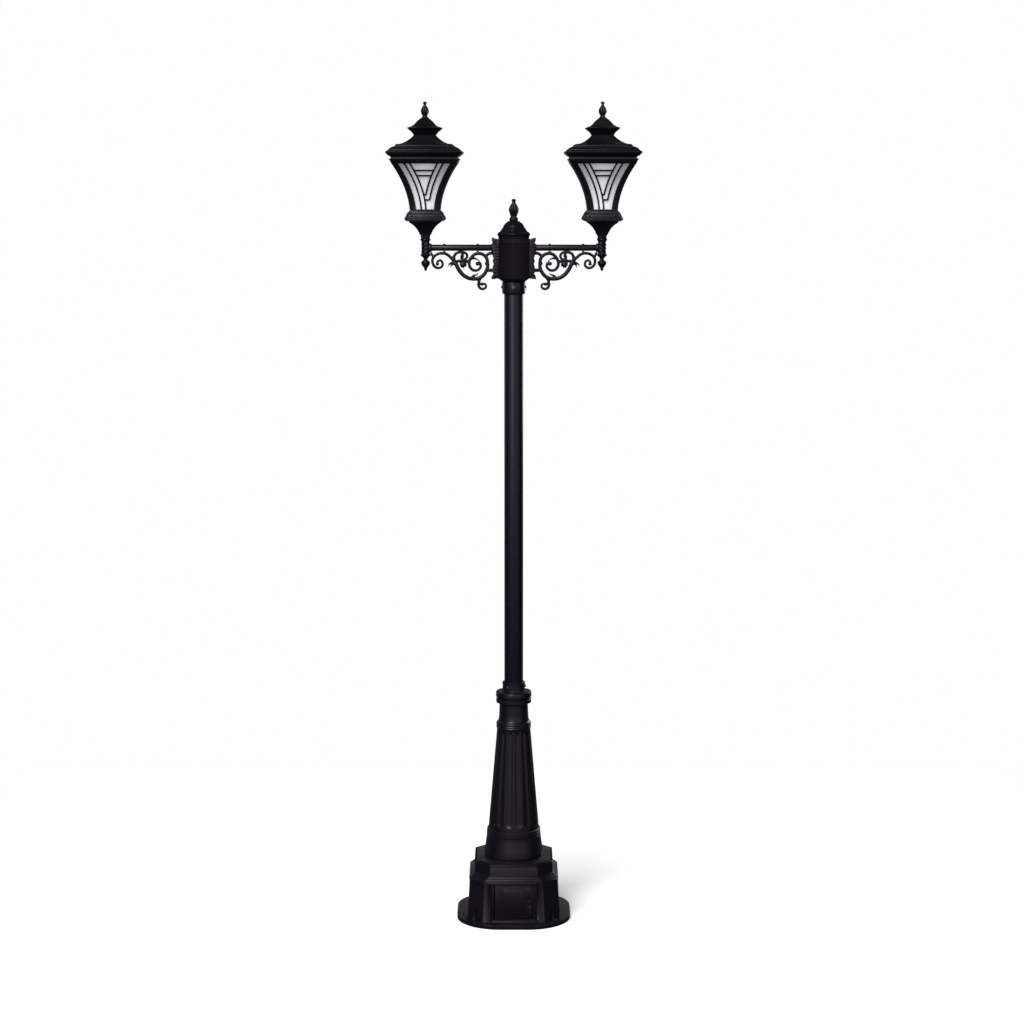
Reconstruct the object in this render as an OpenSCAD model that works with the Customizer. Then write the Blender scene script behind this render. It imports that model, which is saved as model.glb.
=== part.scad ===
// Twin-lantern garden lamp post: a cast pedestal with a service door, a fluted column, a steel pole
// tube, and a hexagonal head that carries two arms, two scroll brackets and two square lanterns.
// Millimetres, +Z up, origin at the centre of the base flange's underside, front towards -Y.

/* [Pedestal] */
// Width across the flat sides of the pedestal at its foot
pedestal_w = 377; // [360:1:460]
// Height of the pedestal's top face above the ground
pedestal_h = 250; // [240:1:310]
// Thickness of the base flange
flange_t = 17; // [12:0.5:24]
// How far the flange stands out beyond the flat sides
flange_out = 42.5; // [30:0.5:55]
// Length cut from each side at the chamfered corners
corner_cut = 62; // [50:1:75]
// Wall of the castings
cast_wall = 8; // [6:0.5:10]
// Diameter of the four anchor bolt holes
anchor_d = 14; // [10:0.5:16]

/* [Service door] */
// Width of the door
door_w = 156; // [120:1:190]
// Height of the door
door_h = 140; // [110:1:144]
// Thickness of the door
door_t = 8; // [6:0.5:9]
// Gap round the door
door_gap = 0.8; // [0.5:0.1:1.5]
// Diameter of the lock barrel
lock_d = 16; // [12:0.5:20]

/* [Column] */
// Height of the column above the pedestal
column_h = 723; // [600:1:870]
// Diameter of the column's foot
column_d = 241; // [200:1:250]
// Diameter at the upper end of the fluted shaft
shaft_top_d = 136; // [128:1:165]
// Number of flutes
flute_n = 16; // [10:1:20]

/* [Pole] */
// Height of the lower edge of the head socket above the ground
pole_h = 2544; // [2000:1:3060]
// Outer diameter of the pole tube
tube_d = 76; // [60:1:80]
// Wall of the pole tube
tube_wall = 3; // [2:0.5:5]
// Diameter of the cable in the pole
cable_d = 10; // [7:0.5:13]

/* [Head] */
// Width across the flats of the head box
head_w = 118; // [104:1:142]
// Height of the head box
head_h = 169; // [150:1:205]
// Length of the socket that takes the pole tube
socket_h = 48; // [38:1:60]
// Wall of the head box
head_wall = 6; // [4:0.5:8]

/* [Arms] */
// Distance from the pole's axis to each lantern's axis
arm_reach = 350; // [290:1:425]
// Outer diameter of the arm tubes
arm_d = 25; // [20:0.5:28]
// Wall of the arm tubes
arm_wall = 2; // [1.5:0.5:3]
// Thickness of the scroll brackets
scroll_t = 12; // [8:0.5:16]
// Diameter of the lamp leads in the arms
lead_d = 6; // [4:0.5:7]

/* [Lanterns] */
// Outer width of the cage at its top
cage_top_w = 275; // [230:1:300]
// Outer width of the cage at its foot
cage_foot_w = 116; // [104:1:140]
// Height of the cage
cage_h = 200; // [166:1:250]
// Wall of the cage
cage_wall = 5; // [3:0.5:6]
// Width of the frame round each window
frame_w = 23; // [18:1:28]
// Width of the glazing bars
bar_w = 6; // [4:0.5:7]
// Thickness of the frosted panes
pane_t = 3; // [2:0.5:4]
// How far the roof's brim stands out beyond the cage
brim_out = 13.5; // [8:0.5:20]
// Diameter of the lamp globe
globe_d = 60; // [45:1:68]

/* [Hidden] */
$fn = 64;

// Finishes
coat = [0.09, 0.085, 0.10];
steel = [0.62, 0.63, 0.65];
frost = [0.74, 0.76, 0.79];
rubber = [0.12, 0.12, 0.12];
plastic = [0.85, 0.85, 0.82];

// Clearances
eps = 1;
seat = 0.3;
run_fit = 0.05;
slip_fit = 0.2;

// Pedestal
foot_r = pedestal_w / 2;
body_top_r = foot_r - 9;
tier_r = body_top_r - 20.5;
tier_top_r = tier_r - 2.5;
body_top_z = pedestal_h - 75;
tier_z = pedestal_h - 50;
flange_r = foot_r + flange_out;
flange_corner = 175;
cavity_r = body_top_r - cast_wall;
cavity_cut = corner_cut - 12;
upper_cavity_r = tier_top_r - cast_wall;
anchor_c = foot_r - 20.5;
anchor_head_r = 22;
anchor_niche_h = 44;

// Service door
door_z = flange_t + 8;
door_top = min(door_z + door_h, body_top_z - 9);
door_y = -(cavity_r - 3.5);
door_front = door_y - door_t / 2;
recess_y = door_front - 2;
jamb_t = 12;
hinge_x = -(door_w / 2 - door_t / 2);
pin_d = 4;
pin_in = 10;
pin_out = 8;
lock_x = door_w / 2 - 17;
lock_z = (door_z + door_top) / 2;
tongue_l = 26;

// Column, heights above the pedestal
column_r = column_d / 2;
shaft_foot_r = column_r - 18.5;
shaft_top_r = shaft_top_d / 2;
shaft_z0 = 125;
shaft_z1 = column_h - 188;
bore_r = tube_d / 2 + slip_fit;
column_collar_r = tube_d / 2 + 7.5;
cap_ring_r = column_collar_r + 26.8;
tube_foot = pedestal_h + column_h - 175;
column_bolt_r = column_r - 32;
column_screw_z = pedestal_h + column_h - 18;
column_screw_turns = [118:120:358];
ledge_r = tube_d / 2 - tube_wall;

// Head, heights
box_z = pole_h + socket_h;
box_top = box_z + head_h;
cap_z = box_top + 2;
cap_h = 69;
arm_z = box_top - 34;
box_in_w = head_w - 2 * head_wall;
box_floor = box_z + 13;
socket_r = tube_d / 2 + 8.5;
plate_x = head_w / 2;
plate_out = 25;
plate_w = 44;
arm_collar_r = arm_d / 2 + 5;
stud_d = 10;
bridge_z = box_top - 12;
block_h = 40;

// Lantern, heights above the arm's axis
stem_r = 16;
nipple_r = 10;
lead_bore_r = 7;
nipple_top = 118;
cup_z = 38;
cup_top = 148;
cup_r = cage_foot_w / 2 + 19;
cage_z = cup_top;
cage_top = cage_z + cage_h;
window_z0 = cage_z + 3.5;
window_z1 = cage_top - 18;
cage_belly = 8;
rim_flange = 14;
gasket_t = 3;
roof_z = cage_top + gasket_t;
roof_h = 90;
crown_z = roof_z + roof_h;
crown_h = 66;
finial_z = crown_z + crown_h;
roof_stud_d = 8;
holder_r = 21;
holder_z = nipple_top;
holder_h = 44;
lamp_base_r = 13.2;
lamp_base_h = 26;

// ---- Helpers ----

// A solid whose level sections are regular polygons: half-widths and heights in a list
module stacked(half, sides = 4) {
  reach = 2 * max([for (p = half) p[0]]) + 10;
  outline = concat([for (p = half) [p[0], p[1]]],
                   [for (i = [len(half) - 1:-1:0]) [-half[i][0], half[i][1]]]);
  intersection_for (i = [0:sides / 2 - 1])
    rotate([0, 0, i * 360 / sides])
      rotate([90, 0, 0])
        linear_extrude(reach, center = true) polygon(outline);
}

// A square stack whose corners are cut by a second stack, turned by 45 degrees
module cut_square(half, corner) {
  intersection() {
    stacked(half);
    rotate([0, 0, 45]) stacked([for (p = half) [sqrt(2) * p[0] - corner / sqrt(2), p[1]]]);
  }
}

// A turned solid from radii and heights, closed along the axis
module turned(points) {
  rotate_extrude($fn = 72)
    polygon(concat([[0, points[0][1]]], points, [[0, points[len(points) - 1][1]]]));
}

module hex_bar(across, h) {
  rotate([0, 0, 30]) cylinder(d = across / cos(30), h = h, $fn = 6);
}

// Socket screw that points along -X from its head; its tip is at the origin
module side_screw(d, length, head) {
  rotate([0, 90, 0]) {
    difference() {
      union() {
        cylinder(d = d, h = length);
        translate([0, 0, length - head]) cylinder(d = d * 1.5, h = head);
      }
      translate([0, 0, length - head * 0.7]) hex_bar(d * 0.6, head);
    }
  }
}

// Catmull-Rom curve through a list of points
function curve(p, steps = 3) = concat(
  [for (i = [0:len(p) - 2], j = [0:steps - 1])
    let (t = j / steps, a = p[max(i - 1, 0)], b = p[i], c = p[i + 1], d = p[min(i + 2, len(p) - 1)])
    b + t / 2 * ((c - a) + t * ((2 * a - 5 * b + 4 * c - d) + t * (3 * (b - c) + d - a)))],
  [p[len(p) - 1]]);

function heading(p, i) =
  let (d = p[min(i + 1, len(p) - 1)] - p[max(i - 1, 0)]) d / norm(d);

// Outline of a strip of changing width along a curve
function strip(p, w0, w1) =
  let (n = len(p) - 1,
       side = [for (i = [0:n]) let (h = heading(p, i), w = w0 + (w1 - w0) * i / n)
               [-h[1], h[0]] * w / 2])
  concat([for (i = [0:n]) p[i] + side[i]], [for (i = [n:-1:0]) p[i] - side[i]]);

// Round cable along a curve in the XZ plane
module cable(p, d, sides = 8) {
  n = len(p);
  rings = [for (i = [0:n - 1], k = [0:sides - 1])
    let (h = heading(p, i), a = 360 * k / sides)
    [p[i][0] - h[1] * cos(a) * d / 2, sin(a) * d / 2, p[i][1] + h[0] * cos(a) * d / 2]];
  walls = [for (i = [0:n - 2], k = [0:sides - 1])
    let (m = (k + 1) % sides)
    [i * sides + k, i * sides + m, (i + 1) * sides + m, (i + 1) * sides + k]];
  ends = [[for (k = [sides - 1:-1:0]) k], [for (k = [0:sides - 1]) (n - 1) * sides + k]];
  polyhedron(rings, concat(walls, ends));
}

function bend(cx, cz, r, a0, a1, n = 6) =
  [for (i = [0:n]) let (a = a0 + (a1 - a0) * i / n) [cx + r * cos(a), cz + r * sin(a)]];

module at_lantern(side) {
  translate([side * arm_reach, 0, arm_z]) children();
}

module on_side(side) {
  mirror([side < 0 ? 1 : 0, 0, 0]) children();
}

// ---- Pedestal ----

module base_pedestal() {
  outer = [
    [foot_r, 0], [body_top_r, body_top_z], [body_top_r - 3, body_top_z + 7],
    [body_top_r - 10, body_top_z + 12], [body_top_r - 16, body_top_z + 16],
    [tier_r, tier_z], [tier_top_r, pedestal_h]];
  color(coat) difference() {
    union() {
      cut_square(outer, corner_cut);
      base_flange();
    }
    difference() {
      union() {
        cut_square([[cavity_r, -eps], [cavity_r, body_top_z]], cavity_cut);
        cut_square([[upper_cavity_r, body_top_z - eps],
                    [upper_cavity_r, pedestal_h - cast_wall]], cavity_cut);
      }
      // Inner frame that carries the door's hinge pins and takes the lock's tongue
      translate([-door_w / 2 - 14, door_y - jamb_t - 8, -2 * eps])
        cube([door_w + 28, jamb_t + 16, door_top + 16 + 2 * eps]);
    }
    // Recess in front of the door, and the doorway
    translate([-door_w / 2 - 22, -foot_r - eps, flange_t + 3])
      cube([door_w + 44, foot_r + eps + recess_y, door_top + 6 - flange_t]);
    translate([-door_w / 2 - door_gap, recess_y - eps, door_z - door_gap])
      cube([door_w + 2 * door_gap, cavity_r, door_top - door_z + 2 * door_gap]);
    pin_places() cylinder(d = pin_d, h = pin_in + pin_out);
    // Hole for the cables, and the column's bolt holes
    translate([0, 0, pedestal_h - cast_wall - eps])
      cylinder(r = column_bolt_r - 14, h = cast_wall + 2 * eps);
    for (a = [45:90:315])
      rotate([0, 0, a]) translate([column_bolt_r, 0, pedestal_h - cast_wall - eps])
        cylinder(d = 10.5, h = cast_wall + 2 * eps);
    // Anchor holes with room for a washer and a spanner above each
    for (x = [-1, 1], y = [-1, 1])
      translate([x * anchor_c, y * anchor_c, -eps]) {
        cylinder(d = anchor_d, h = flange_t + 2 * eps);
        translate([0, 0, flange_t]) cylinder(r = anchor_head_r, h = anchor_niche_h);
      }
    translate([cavity_r - 4, 60, 60]) rotate([0, 90, 0]) cylinder(d = 8, h = 8);
  }
}

module base_flange() {
  c = flange_r - flange_corner;
  translate([-flange_r, -c, 0]) cube([2 * flange_r, 2 * c, flange_t]);
  translate([-c, -flange_r, 0]) cube([2 * c, 2 * flange_r, flange_t]);
  for (x = [-1, 1], y = [-1, 1])
    translate([x * c, y * c, 0]) cylinder(r = flange_corner, h = flange_t, $fn = 96);
}

module pin_places() {
  translate([hinge_x, door_y, door_top - pin_in]) children();
  translate([hinge_x, door_y, door_z - pin_out]) children();
}

module door_hinge_pins() {
  color(steel) pin_places() cylinder(d = pin_d, h = pin_in + pin_out);
}

module access_door() {
  h = door_top - door_z;
  color(coat) difference() {
    union() {
      translate([hinge_x, door_front, door_z]) cube([door_w - door_t / 2, door_t, h]);
      translate([hinge_x, door_y, door_z]) cylinder(d = door_t, h = h);
    }
    pin_places() cylinder(d = pin_d + 2 * run_fit, h = pin_in + pin_out);
    translate([hinge_x, door_y, door_z - eps]) cylinder(d = pin_d + 2 * run_fit, h = pin_in + eps + seat);
    translate([hinge_x, door_y, door_top - pin_in - seat])
      cylinder(d = pin_d + 2 * run_fit, h = pin_in + eps);
    translate([lock_x, door_front - eps, lock_z]) rotate([-90, 0, 0])
      cylinder(d = lock_d + 2 * run_fit, h = door_t + 2 * eps);
  }
}

module door_lock() {
  front = 1.6;
  back = door_y + jamb_t - 4 + 1.2 - door_front;
  color(steel) translate([lock_x, door_front, lock_z]) rotate([-90, 0, 0]) {
    difference() {
      union() {
        cylinder(d = lock_d, h = back + 3);
        translate([0, 0, -front - seat]) cylinder(d = lock_d + 6, h = front);
        translate([0, 0, -seat - eps]) cylinder(d = lock_d, h = 2 * eps);
      }
      // Triangular key recess
      translate([0, 0, -front - seat - eps]) cylinder(d = 8, h = 5, $fn = 3);
    }
    translate([-6, -6, back]) cube([12, tongue_l + 6, 3]);
  }
}

// ---- Electrical gear in the pedestal ----

gear_y = 60;
gear_z = 60;
gear_h = 110;

module cutout_bracket() {
  plate_y = gear_y + 26;
  color(steel) {
    translate([-42, plate_y, gear_z - 10]) cube([84, 3, gear_h + 10]);
    for (x = [-42, 39])
      translate([x, plate_y, gear_z - 10]) cube([3, cavity_r - plate_y, gear_h + 10]);
  }
}

module fuse_cutout() {
  color(plastic) difference() {
    union() {
      translate([-34, gear_y - 24, gear_z]) cube([68, 50, gear_h - 20]);
      translate([-22, gear_y - 34, gear_z + 20]) cube([44, 10, 50]);
      translate([0, gear_y, gear_z + gear_h - 20]) cylinder(d = cable_d + 10, h = 20);
    }
    translate([0, gear_y, gear_z + gear_h - 10]) cylinder(d = cable_d + 0.4, h = 20);
  }
}

module earth_stud() {
  color(steel) translate([cavity_r - 4, 60, 60]) rotate([0, -90, 0]) {
    translate([0, 0, -8]) cylinder(d = 8, h = 34);
    translate([0, 0, 4]) cylinder(d = 18, h = 1.5);
    translate([0, 0, 5.5]) hex_bar(13, 6.5);
    translate([0, 0, 14]) hex_bar(13, 6.5);
  }
}

// The pole cable's route: distance behind the axis and height
cable_route = [
  [60, 160], [60, 190], [60, 230], [58, 270], [50, 320], [38, 370], [24, 430], [10, 510],
  [2, 590], [0, 660], [0, 720]];

module pole_cable() {
  path = concat(curve(cable_route), [[0, pedestal_h + column_h], [0, pole_h], [0, box_floor - seat]]);
  color(rubber) rotate([0, 0, 90]) cable(path, cable_d);
}

// ---- Column ----

module base_column() {
  z0 = pedestal_h;
  top = pedestal_h + column_h;
  color(coat) difference() {
    turned([
      [column_r - 2, z0], [column_r, z0 + 6], [column_r, z0 + 42], [column_r - 4, z0 + 60],
      [column_r - 9, z0 + 78], [column_r - 8.5, z0 + 84], [column_r - 7.5, z0 + 90],
      [column_r - 8.5, z0 + 97], [column_r - 12, z0 + 104], [column_r - 17, z0 + 110],
      [shaft_foot_r, z0 + shaft_z0], [shaft_top_r, z0 + shaft_z1],
      [shaft_top_r + 2, top - 184], [shaft_top_r + 2.8, top - 180], [shaft_top_r + 1.4, top - 177],
      [shaft_top_r + 2.8, top - 173], [shaft_top_r + 1, top - 169], [shaft_top_r - 4, top - 164],
      [column_collar_r + 15, top - 150], [column_collar_r + 12.5, top - 95],
      [column_collar_r + 16, top - 84],
      [cap_ring_r - 3.5, top - 76], [cap_ring_r - 1.5, top - 73], [cap_ring_r - 1.5, top - 67],
      [cap_ring_r - 5, top - 65.5], [cap_ring_r - 5, top - 62.5], [cap_ring_r, top - 61],
      [cap_ring_r, top - 41], [cap_ring_r - 2, top - 39],
      [column_collar_r, top - 39], [column_collar_r, top - 2], [column_collar_r - 2, top]]);
    // Tube seat, ledge bore and the hollow below
    translate([0, 0, tube_foot]) cylinder(r = bore_r, h = top - tube_foot + eps);
    turned([
      [column_r - 24, z0 - eps], [column_r - 24, z0 - eps + 1], [column_r - 46, z0],
      [column_r - 46, z0 + 10], [column_r - 22, z0 + 10.5], [column_r - 26, z0 + 96],
      [shaft_foot_r - cast_wall - 6, z0 + shaft_z0],
      [shaft_top_r - cast_wall - 6, z0 + shaft_z1 - 8],
      [ledge_r, tube_foot - 6], [ledge_r, tube_foot + eps]]);
    flutes();
    for (a = [45:90:315])
      rotate([0, 0, a]) translate([column_bolt_r, 0, z0 - eps]) cylinder(d = 10.5, h = 16);
    for (a = column_screw_turns)
      rotate([0, 0, a]) translate([0, 0, column_screw_z]) rotate([0, 90, 0])
        cylinder(d = 8.2, h = column_collar_r + eps);
  }
}

module flutes() {
  z0 = pedestal_h + shaft_z0 + 9;
  z1 = pedestal_h + shaft_z1 - 10;
  run = shaft_z1 - shaft_z0;
  slope = (shaft_foot_r - shaft_top_r) / run;
  r0 = 0.36 * 2 * PI * shaft_foot_r / flute_n;
  r1 = 0.36 * 2 * PI * shaft_top_r / flute_n;
  tilt = atan(slope);
  for (i = [0:flute_n - 1])
    rotate([0, 0, (i + 0.5) * 360 / flute_n])
      translate([shaft_foot_r - 9 * slope + r0 * 0.62, 0, z0]) rotate([0, -tilt, 0]) {
        cylinder(r1 = r0, r2 = r1, h = (z1 - z0) / cos(tilt), $fn = 32);
      }
}

module column_bolts() {
  color(steel)
    for (a = [45:90:315])
      rotate([0, 0, a]) translate([column_bolt_r, 0, pedestal_h - cast_wall]) {
        translate([0, 0, -6.4]) hex_bar(17, 6.4);
        cylinder(d = 10, h = cast_wall + 14);
        translate([0, 0, cast_wall + 10.5]) hex_bar(17, 8);
      }
}

module column_set_screws() {
  reach = tube_d / 2 + seat;
  color(steel)
    for (a = column_screw_turns)
      rotate([0, 0, a]) translate([reach, 0, column_screw_z])
        side_screw(8, column_collar_r - reach + 4, 3.5);
}

module pole_tube() {
  h = box_z - 5 - tube_foot;
  color(coat) translate([0, 0, tube_foot]) difference() {
    cylinder(d = tube_d, h = h, $fn = 96);
    translate([0, 0, -eps]) cylinder(d = tube_d - 2 * tube_wall, h = h + 2 * eps);
  }
}

// ---- Head ----

module head_socket() {
  color(coat) translate([0, 0, pole_h]) difference() {
    turned([[socket_r - 4, 0], [socket_r - 1, 3], [socket_r, 8], [socket_r, socket_h]]);
    translate([0, 0, -eps])
      cylinder(r = tube_d / 2 + run_fit, h = socket_h - 5 + seat + eps, $fn = 96);
    cylinder(r = cable_d + 10, h = socket_h + eps);
    for (a = [0:90:270])
      rotate([0, 0, a]) translate([0, 0, socket_h - 20]) rotate([0, 90, 0])
        cylinder(d = 8.2, h = socket_r + eps);
  }
}

module head_set_screws() {
  reach = tube_d / 2 + seat;
  color(steel)
    for (a = [0:90:270])
      rotate([0, 0, a]) translate([reach, 0, pole_h + socket_h - 20])
        side_screw(8, socket_r - reach + 4, 3.5);
}

module head_box() {
  r = head_w / 2;
  color(coat) difference() {
    stacked([[r - 17, box_z], [r, box_z + 13], [r, box_top]], 6);
    difference() {
      translate([0, 0, box_floor]) hex_bar(box_in_w, head_h);
      // Lugs that carry the bridge of the cap's stud
      for (y = [-1, 1])
        translate([-12, y * 62 - 12, bridge_z - 14]) cube([24, 24, 14]);
    }
    translate([0, 0, box_z - eps]) cylinder(r = cable_d + 10, h = 20);
    for (x = [-1, 1])
      translate([0, 0, arm_z]) rotate([0, x * 90, 0])
        cylinder(d = arm_d + 2 * slip_fit, h = head_w);
  }
}

module cap_stud() {
  l = box_in_w / cos(30) - 6;
  color(steel) {
    intersection() {
      translate([-9, -l / 2, bridge_z]) cube([18, l, 4]);
      translate([0, 0, bridge_z - eps]) hex_bar(box_in_w - 1, 10);
    }
    translate([0, 0, bridge_z + 4]) cylinder(d = stud_d, h = cap_z + cap_h + 14 - bridge_z);
  }
}

module junction_block() {
  color(plastic) translate([0, 0, box_floor]) difference() {
    union() {
      translate([-26, -16, 0]) cube([52, 32, block_h - 6]);
      translate([-20, -12, block_h - 6]) cube([40, 24, 6]);
    }
    for (x = [-14, 14])
      translate([x, 0, block_h - 8]) cylinder(d = lead_d + 0.6, h = 10);
  }
}

module cap_gasket() {
  color(rubber) translate([0, 0, box_top]) difference() {
    hex_bar(head_w - 1, 2);
    translate([0, 0, -eps]) hex_bar(box_in_w, 2 + 2 * eps);
  }
}

module head_cap() {
  r = head_w / 2;
  z = cap_z;
  color(coat) difference() {
    stacked([
      [r + 1.8, z], [r + 2.5, z + 10], [r + 6, z + 17.6], [r + 4.5, z + 21.5], [r, z + 25],
      [r - 6, z + 29], [r - 8.5, z + 33], [r - 10.5, z + 37], [r - 14, z + 41], [r - 17, z + 45],
      [r - 18, z + 49], [r - 20, z + 53], [r - 23, z + 57], [r - 27.5, z + 61],
      [r - 32.5, z + 65], [r - 37, z + cap_h]], 6);
    stacked([[r - 7, z - eps], [r - 7, z + 20], [r - 20, z + 36], [r - 30, z + 52],
             [r - 36, z + 58]], 6);
    cylinder(d = stud_d + 1, h = z + cap_h + eps);
  }
}

module head_finial() {
  color(coat) translate([0, 0, cap_z + cap_h + seat]) difference() {
    turned([
      [16, 0], [17.5, 4], [18, 12], [14, 14], [12.3, 16], [14.3, 23], [17, 35], [19, 43],
      [18, 51], [12.5, 63], [8, 71], [7, 75], [8.6, 79], [9, 82], [7, 85], [2, 87]]);
    translate([0, 0, -eps]) cylinder(d = stud_d + 1, h = 20 + eps);
  }
}

// ---- Arms and scroll brackets ----

module bracket_plate() {
  x = plate_x;
  z = box_top;
  color(coat) difference() {
    translate([0, plate_w / 2, 0]) rotate([90, 0, 0]) linear_extrude(plate_w)
      polygon([
        [x, z - 156], [x + 20, z - 154], [x + 28, z - 160], [x + 30, z - 152], [x + 27, z - 144],
        [x + 21, z - 137], [x + plate_out, z - 132], [x + plate_out, z - 112], [x + 21, z - 98],
        [x + plate_out, z - 86], [x + 21, z - 74], [x + plate_out, z - 66],
        [x + plate_out, z - 14],
        [x + 28, z - 4], [x + 29, z + 4], [x + 25, z + 6], [x + 12, z + 1], [x, z]]);
    translate([0, 0, arm_z]) rotate([0, 90, 0])
      cylinder(d = arm_d + 2 * slip_fit, h = x + 2 * plate_out);
  }
}

module arm_tube() {
  x0 = plate_x - head_wall - 3;
  l = arm_reach - x0 - stem_r + 4;
  color(coat) translate([x0, 0, arm_z]) rotate([0, 90, 0]) difference() {
    cylinder(d = arm_d, h = l);
    translate([0, 0, -eps]) cylinder(d = arm_d - 2 * arm_wall, h = l + 2 * eps);
    for (x = screw_places())
      translate([0, 0, x - x0]) rotate([0, -90, 0]) cylinder(d = 6.4, h = arm_d);
  }
}

// Distances along the arm are measured on a 350 mm reach and follow the real reach
function along(x) =
  let (x0 = plate_x + plate_out)
  x0 + (x - 84) * (arm_reach - stem_r - x0) / 250;

function screw_places() = [along(143), along(275.5)];

module ribbon(points, w0, w1, steps = 3) {
  linear_extrude(scroll_t)
    polygon(strip(curve([for (p = points) [along(p[0]), p[1]]], steps), w0, w1));
}

module knob(x, z, r) {
  translate([along(x), z, 0]) cylinder(r = r, h = scroll_t, $fn = 32);
}

// Short post between the scroll and the arm's underside
module post(x, foot) {
  translate([along(x) - 5, foot, 0]) cube([10, -foot - arm_d / 2 - seat, scroll_t]);
}

module scroll() {
  color(coat) translate([0, scroll_t / 2, arm_z]) rotate([90, 0, 0]) {
    // Heavy arc that winds into the large spiral
    ribbon([[230, -64], [214, -93], [192, -114], [163, -123], [134, -118], [110, -93], [104, -61],
            [113, -34], [145, -23], [168, -38], [177, -62], [168, -84], [152, -90], [136, -83],
            [131, -70], [136, -60], [145, -62]], 14, 7);
    knob(144, -63, 6);
    // Medium spiral
    ribbon([[226, -70], [236, -50], [235, -30], [224, -20], [208, -18], [192, -21], [185, -31],
            [189, -42], [201, -46], [208, -40], [206, -32]], 10, 7);
    knob(204, -32, 5.5);
    // Arch that ends in the small spiral by the stem
    ribbon([[226, -66], [240, -49], [253, -36], [266, -26], [285, -22], [306, -27], [321, -42],
            [322, -60], [312, -76], [298, -80], [285, -73], [283, -60], [292, -50], [302, -54],
            [305, -63]], 10, 7);
    knob(303, -64, 5.5);
    // Link to the collar at the stem
    ribbon([[318, -44], [321, -34], [326, -26], [328.5, -21], [328.5, -arm_collar_r - seat]], 9, 5);
    // Branch with a bud
    ribbon([[232, -54], [212, -52], [192, -50], [177, -60]], 9, 9);
    ribbon([[200, -52], [203, -60], [201, -72], [197, -80]], 7, 2);
    ribbon([[206, -54], [209, -64], [204, -76]], 8, 3);
    // Leaf sprig
    ribbon([[232, -60], [246, -62], [258, -67]], 11, 3);
    // Tail curl under the heavy arc
    ribbon([[131, -116], [139, -136], [137, -156], [123, -163], [111, -155], [114, -144], [126, -143]],
           10, 6);
    knob(127, -143, 5);
    // Thorns
    ribbon([[172, -44], [156, -44], [135, -45]], 8, 2);
    ribbon([[166, -116], [156, -108], [144, -106]], 8, 2);
    // Links to the bracket plate
    ribbon([[114, -36], [104, -26], [94, -22], [84.4, -22]], 9, 11);
    ribbon([[108, -89], [96, -89], [84.4, -89]], 9, 13);
    // Posts that take the arm screws
    post(143, -26);
    post(275.5, -26);
  }
}

module scroll_screws() {
  color(steel)
    for (x = screw_places())
      translate([x, 0, arm_z]) {
        translate([0, 0, arm_d / 2 - arm_wall - 2]) cylinder(d = 6, h = arm_wall + 3);
        translate([0, 0, arm_d / 2 + 0.2]) cylinder(d = 10, h = 3.2);
      }
}

module arm_lead() {
  r = 24;
  foot = box_floor + block_h - 8;
  path = concat(
    [[14, foot], [14, foot + 20]],
    bend(14 + r, arm_z - r, r, 180, 90),
    [[plate_x, arm_z], [along(143) - 20, arm_z]],
    [[along(275.5) + 20, arm_z]],
    bend(arm_reach - r, arm_z + r, r, -90, 0),
    [[arm_reach, arm_z + nipple_top - seat]]);
  color(rubber) cable(path, lead_d);
}

// ---- Lantern, drawn about its own axis with the arm's axis at height 0 ----

module stem() {
  color(coat) difference() {
    union() {
      turned([
        [12, -41], [12.6, -34], [18, -32], [21.3, -29], [18, -26], [stem_r, -24], [stem_r, 25],
        [18, 28], [21, 32], [20, 35], [17, 37.8], [nipple_r, 38], [nipple_r, nipple_top]]);
      rotate([0, -90, 0]) cylinder(r = arm_collar_r, h = stem_r + 8);
    }
    // Bores for the arm tube, the lead and the drop finial
    rotate([0, -90, 0]) translate([0, 0, stem_r - 4 - seat])
      cylinder(d = arm_d + 2 * slip_fit, h = 30);
    rotate([0, -90, 0]) cylinder(r = nipple_r, h = stem_r + 20);
    translate([0, 0, -nipple_r]) cylinder(r = nipple_r, h = 30);
    cylinder(r = lead_bore_r, h = nipple_top + eps);
    translate([0, 0, -41 - eps]) cylinder(d = 8, h = 16 + eps);
  }
}

module drop_finial() {
  color(coat) {
    turned([
      [2, -92], [5, -88], [7, -83], [6, -80], [9, -76], [14, -70], [17.5, -63], [18, -59],
      [16, -54], [11, -49], [9.7, -45], [11.4, -42], [11.6, -41 - seat]]);
    translate([0, 0, -42]) cylinder(d = 7.8, h = 14);
  }
}

module cup() {
  r = cup_r;
  color(coat) difference() {
    cut_square([
      [17.4, cup_z], [18.3, 46], [20, 53.5], [23, 61], [27, 69], [32, 77], [r - 38.5, 85],
      [r - 30.5, 93], [r - 19.5, 101], [r - 9, 104.7], [r - 1, 106.6], [r, 110.6],
      [r - 1.2, 117], [r - 3.2, 124], [r - 6.2, 132], [r - 10.2, 140], [r - 16, cup_top]], 12);
    translate([0, 0, cup_z - eps]) cylinder(r = nipple_r + slip_fit, h = 100);
    cut_square([[r - 34, 112], [r - 25, 122], [r - 25, cup_top + eps]], 12);
  }
}

// Half-width of the cage at a height, a curve that flares towards the top
function cage_half(z) =
  let (u = (z - cage_z) / cage_h, foot = cage_foot_w / 2, top = cage_top_w / 2)
  foot * pow(1 - u, 2) + 2 * (foot + cage_belly) * u * (1 - u) + top * u * u;

cage_steps = 12;
function levels(z0, z1) = [for (i = [0:cage_steps]) z0 + (z1 - z0) * i / cage_steps];

function cage_profile(inset, z0, z1) = [for (z = levels(z0, z1)) [cage_half(z) - inset, z]];

// Upright glazing bars: side of the window each follows, and its distance in from that side at the
// cage's foot and at its top
outer_left = [-1, 21, 25];
inner_left = [-1, 39, 47];
inner_right = [1, 36.5, 52];
outer_right = [1, 20.5, 28.5];
inner_bar_z = cage_z + 61;
outer_bar_z = cage_z + 41;

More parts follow.
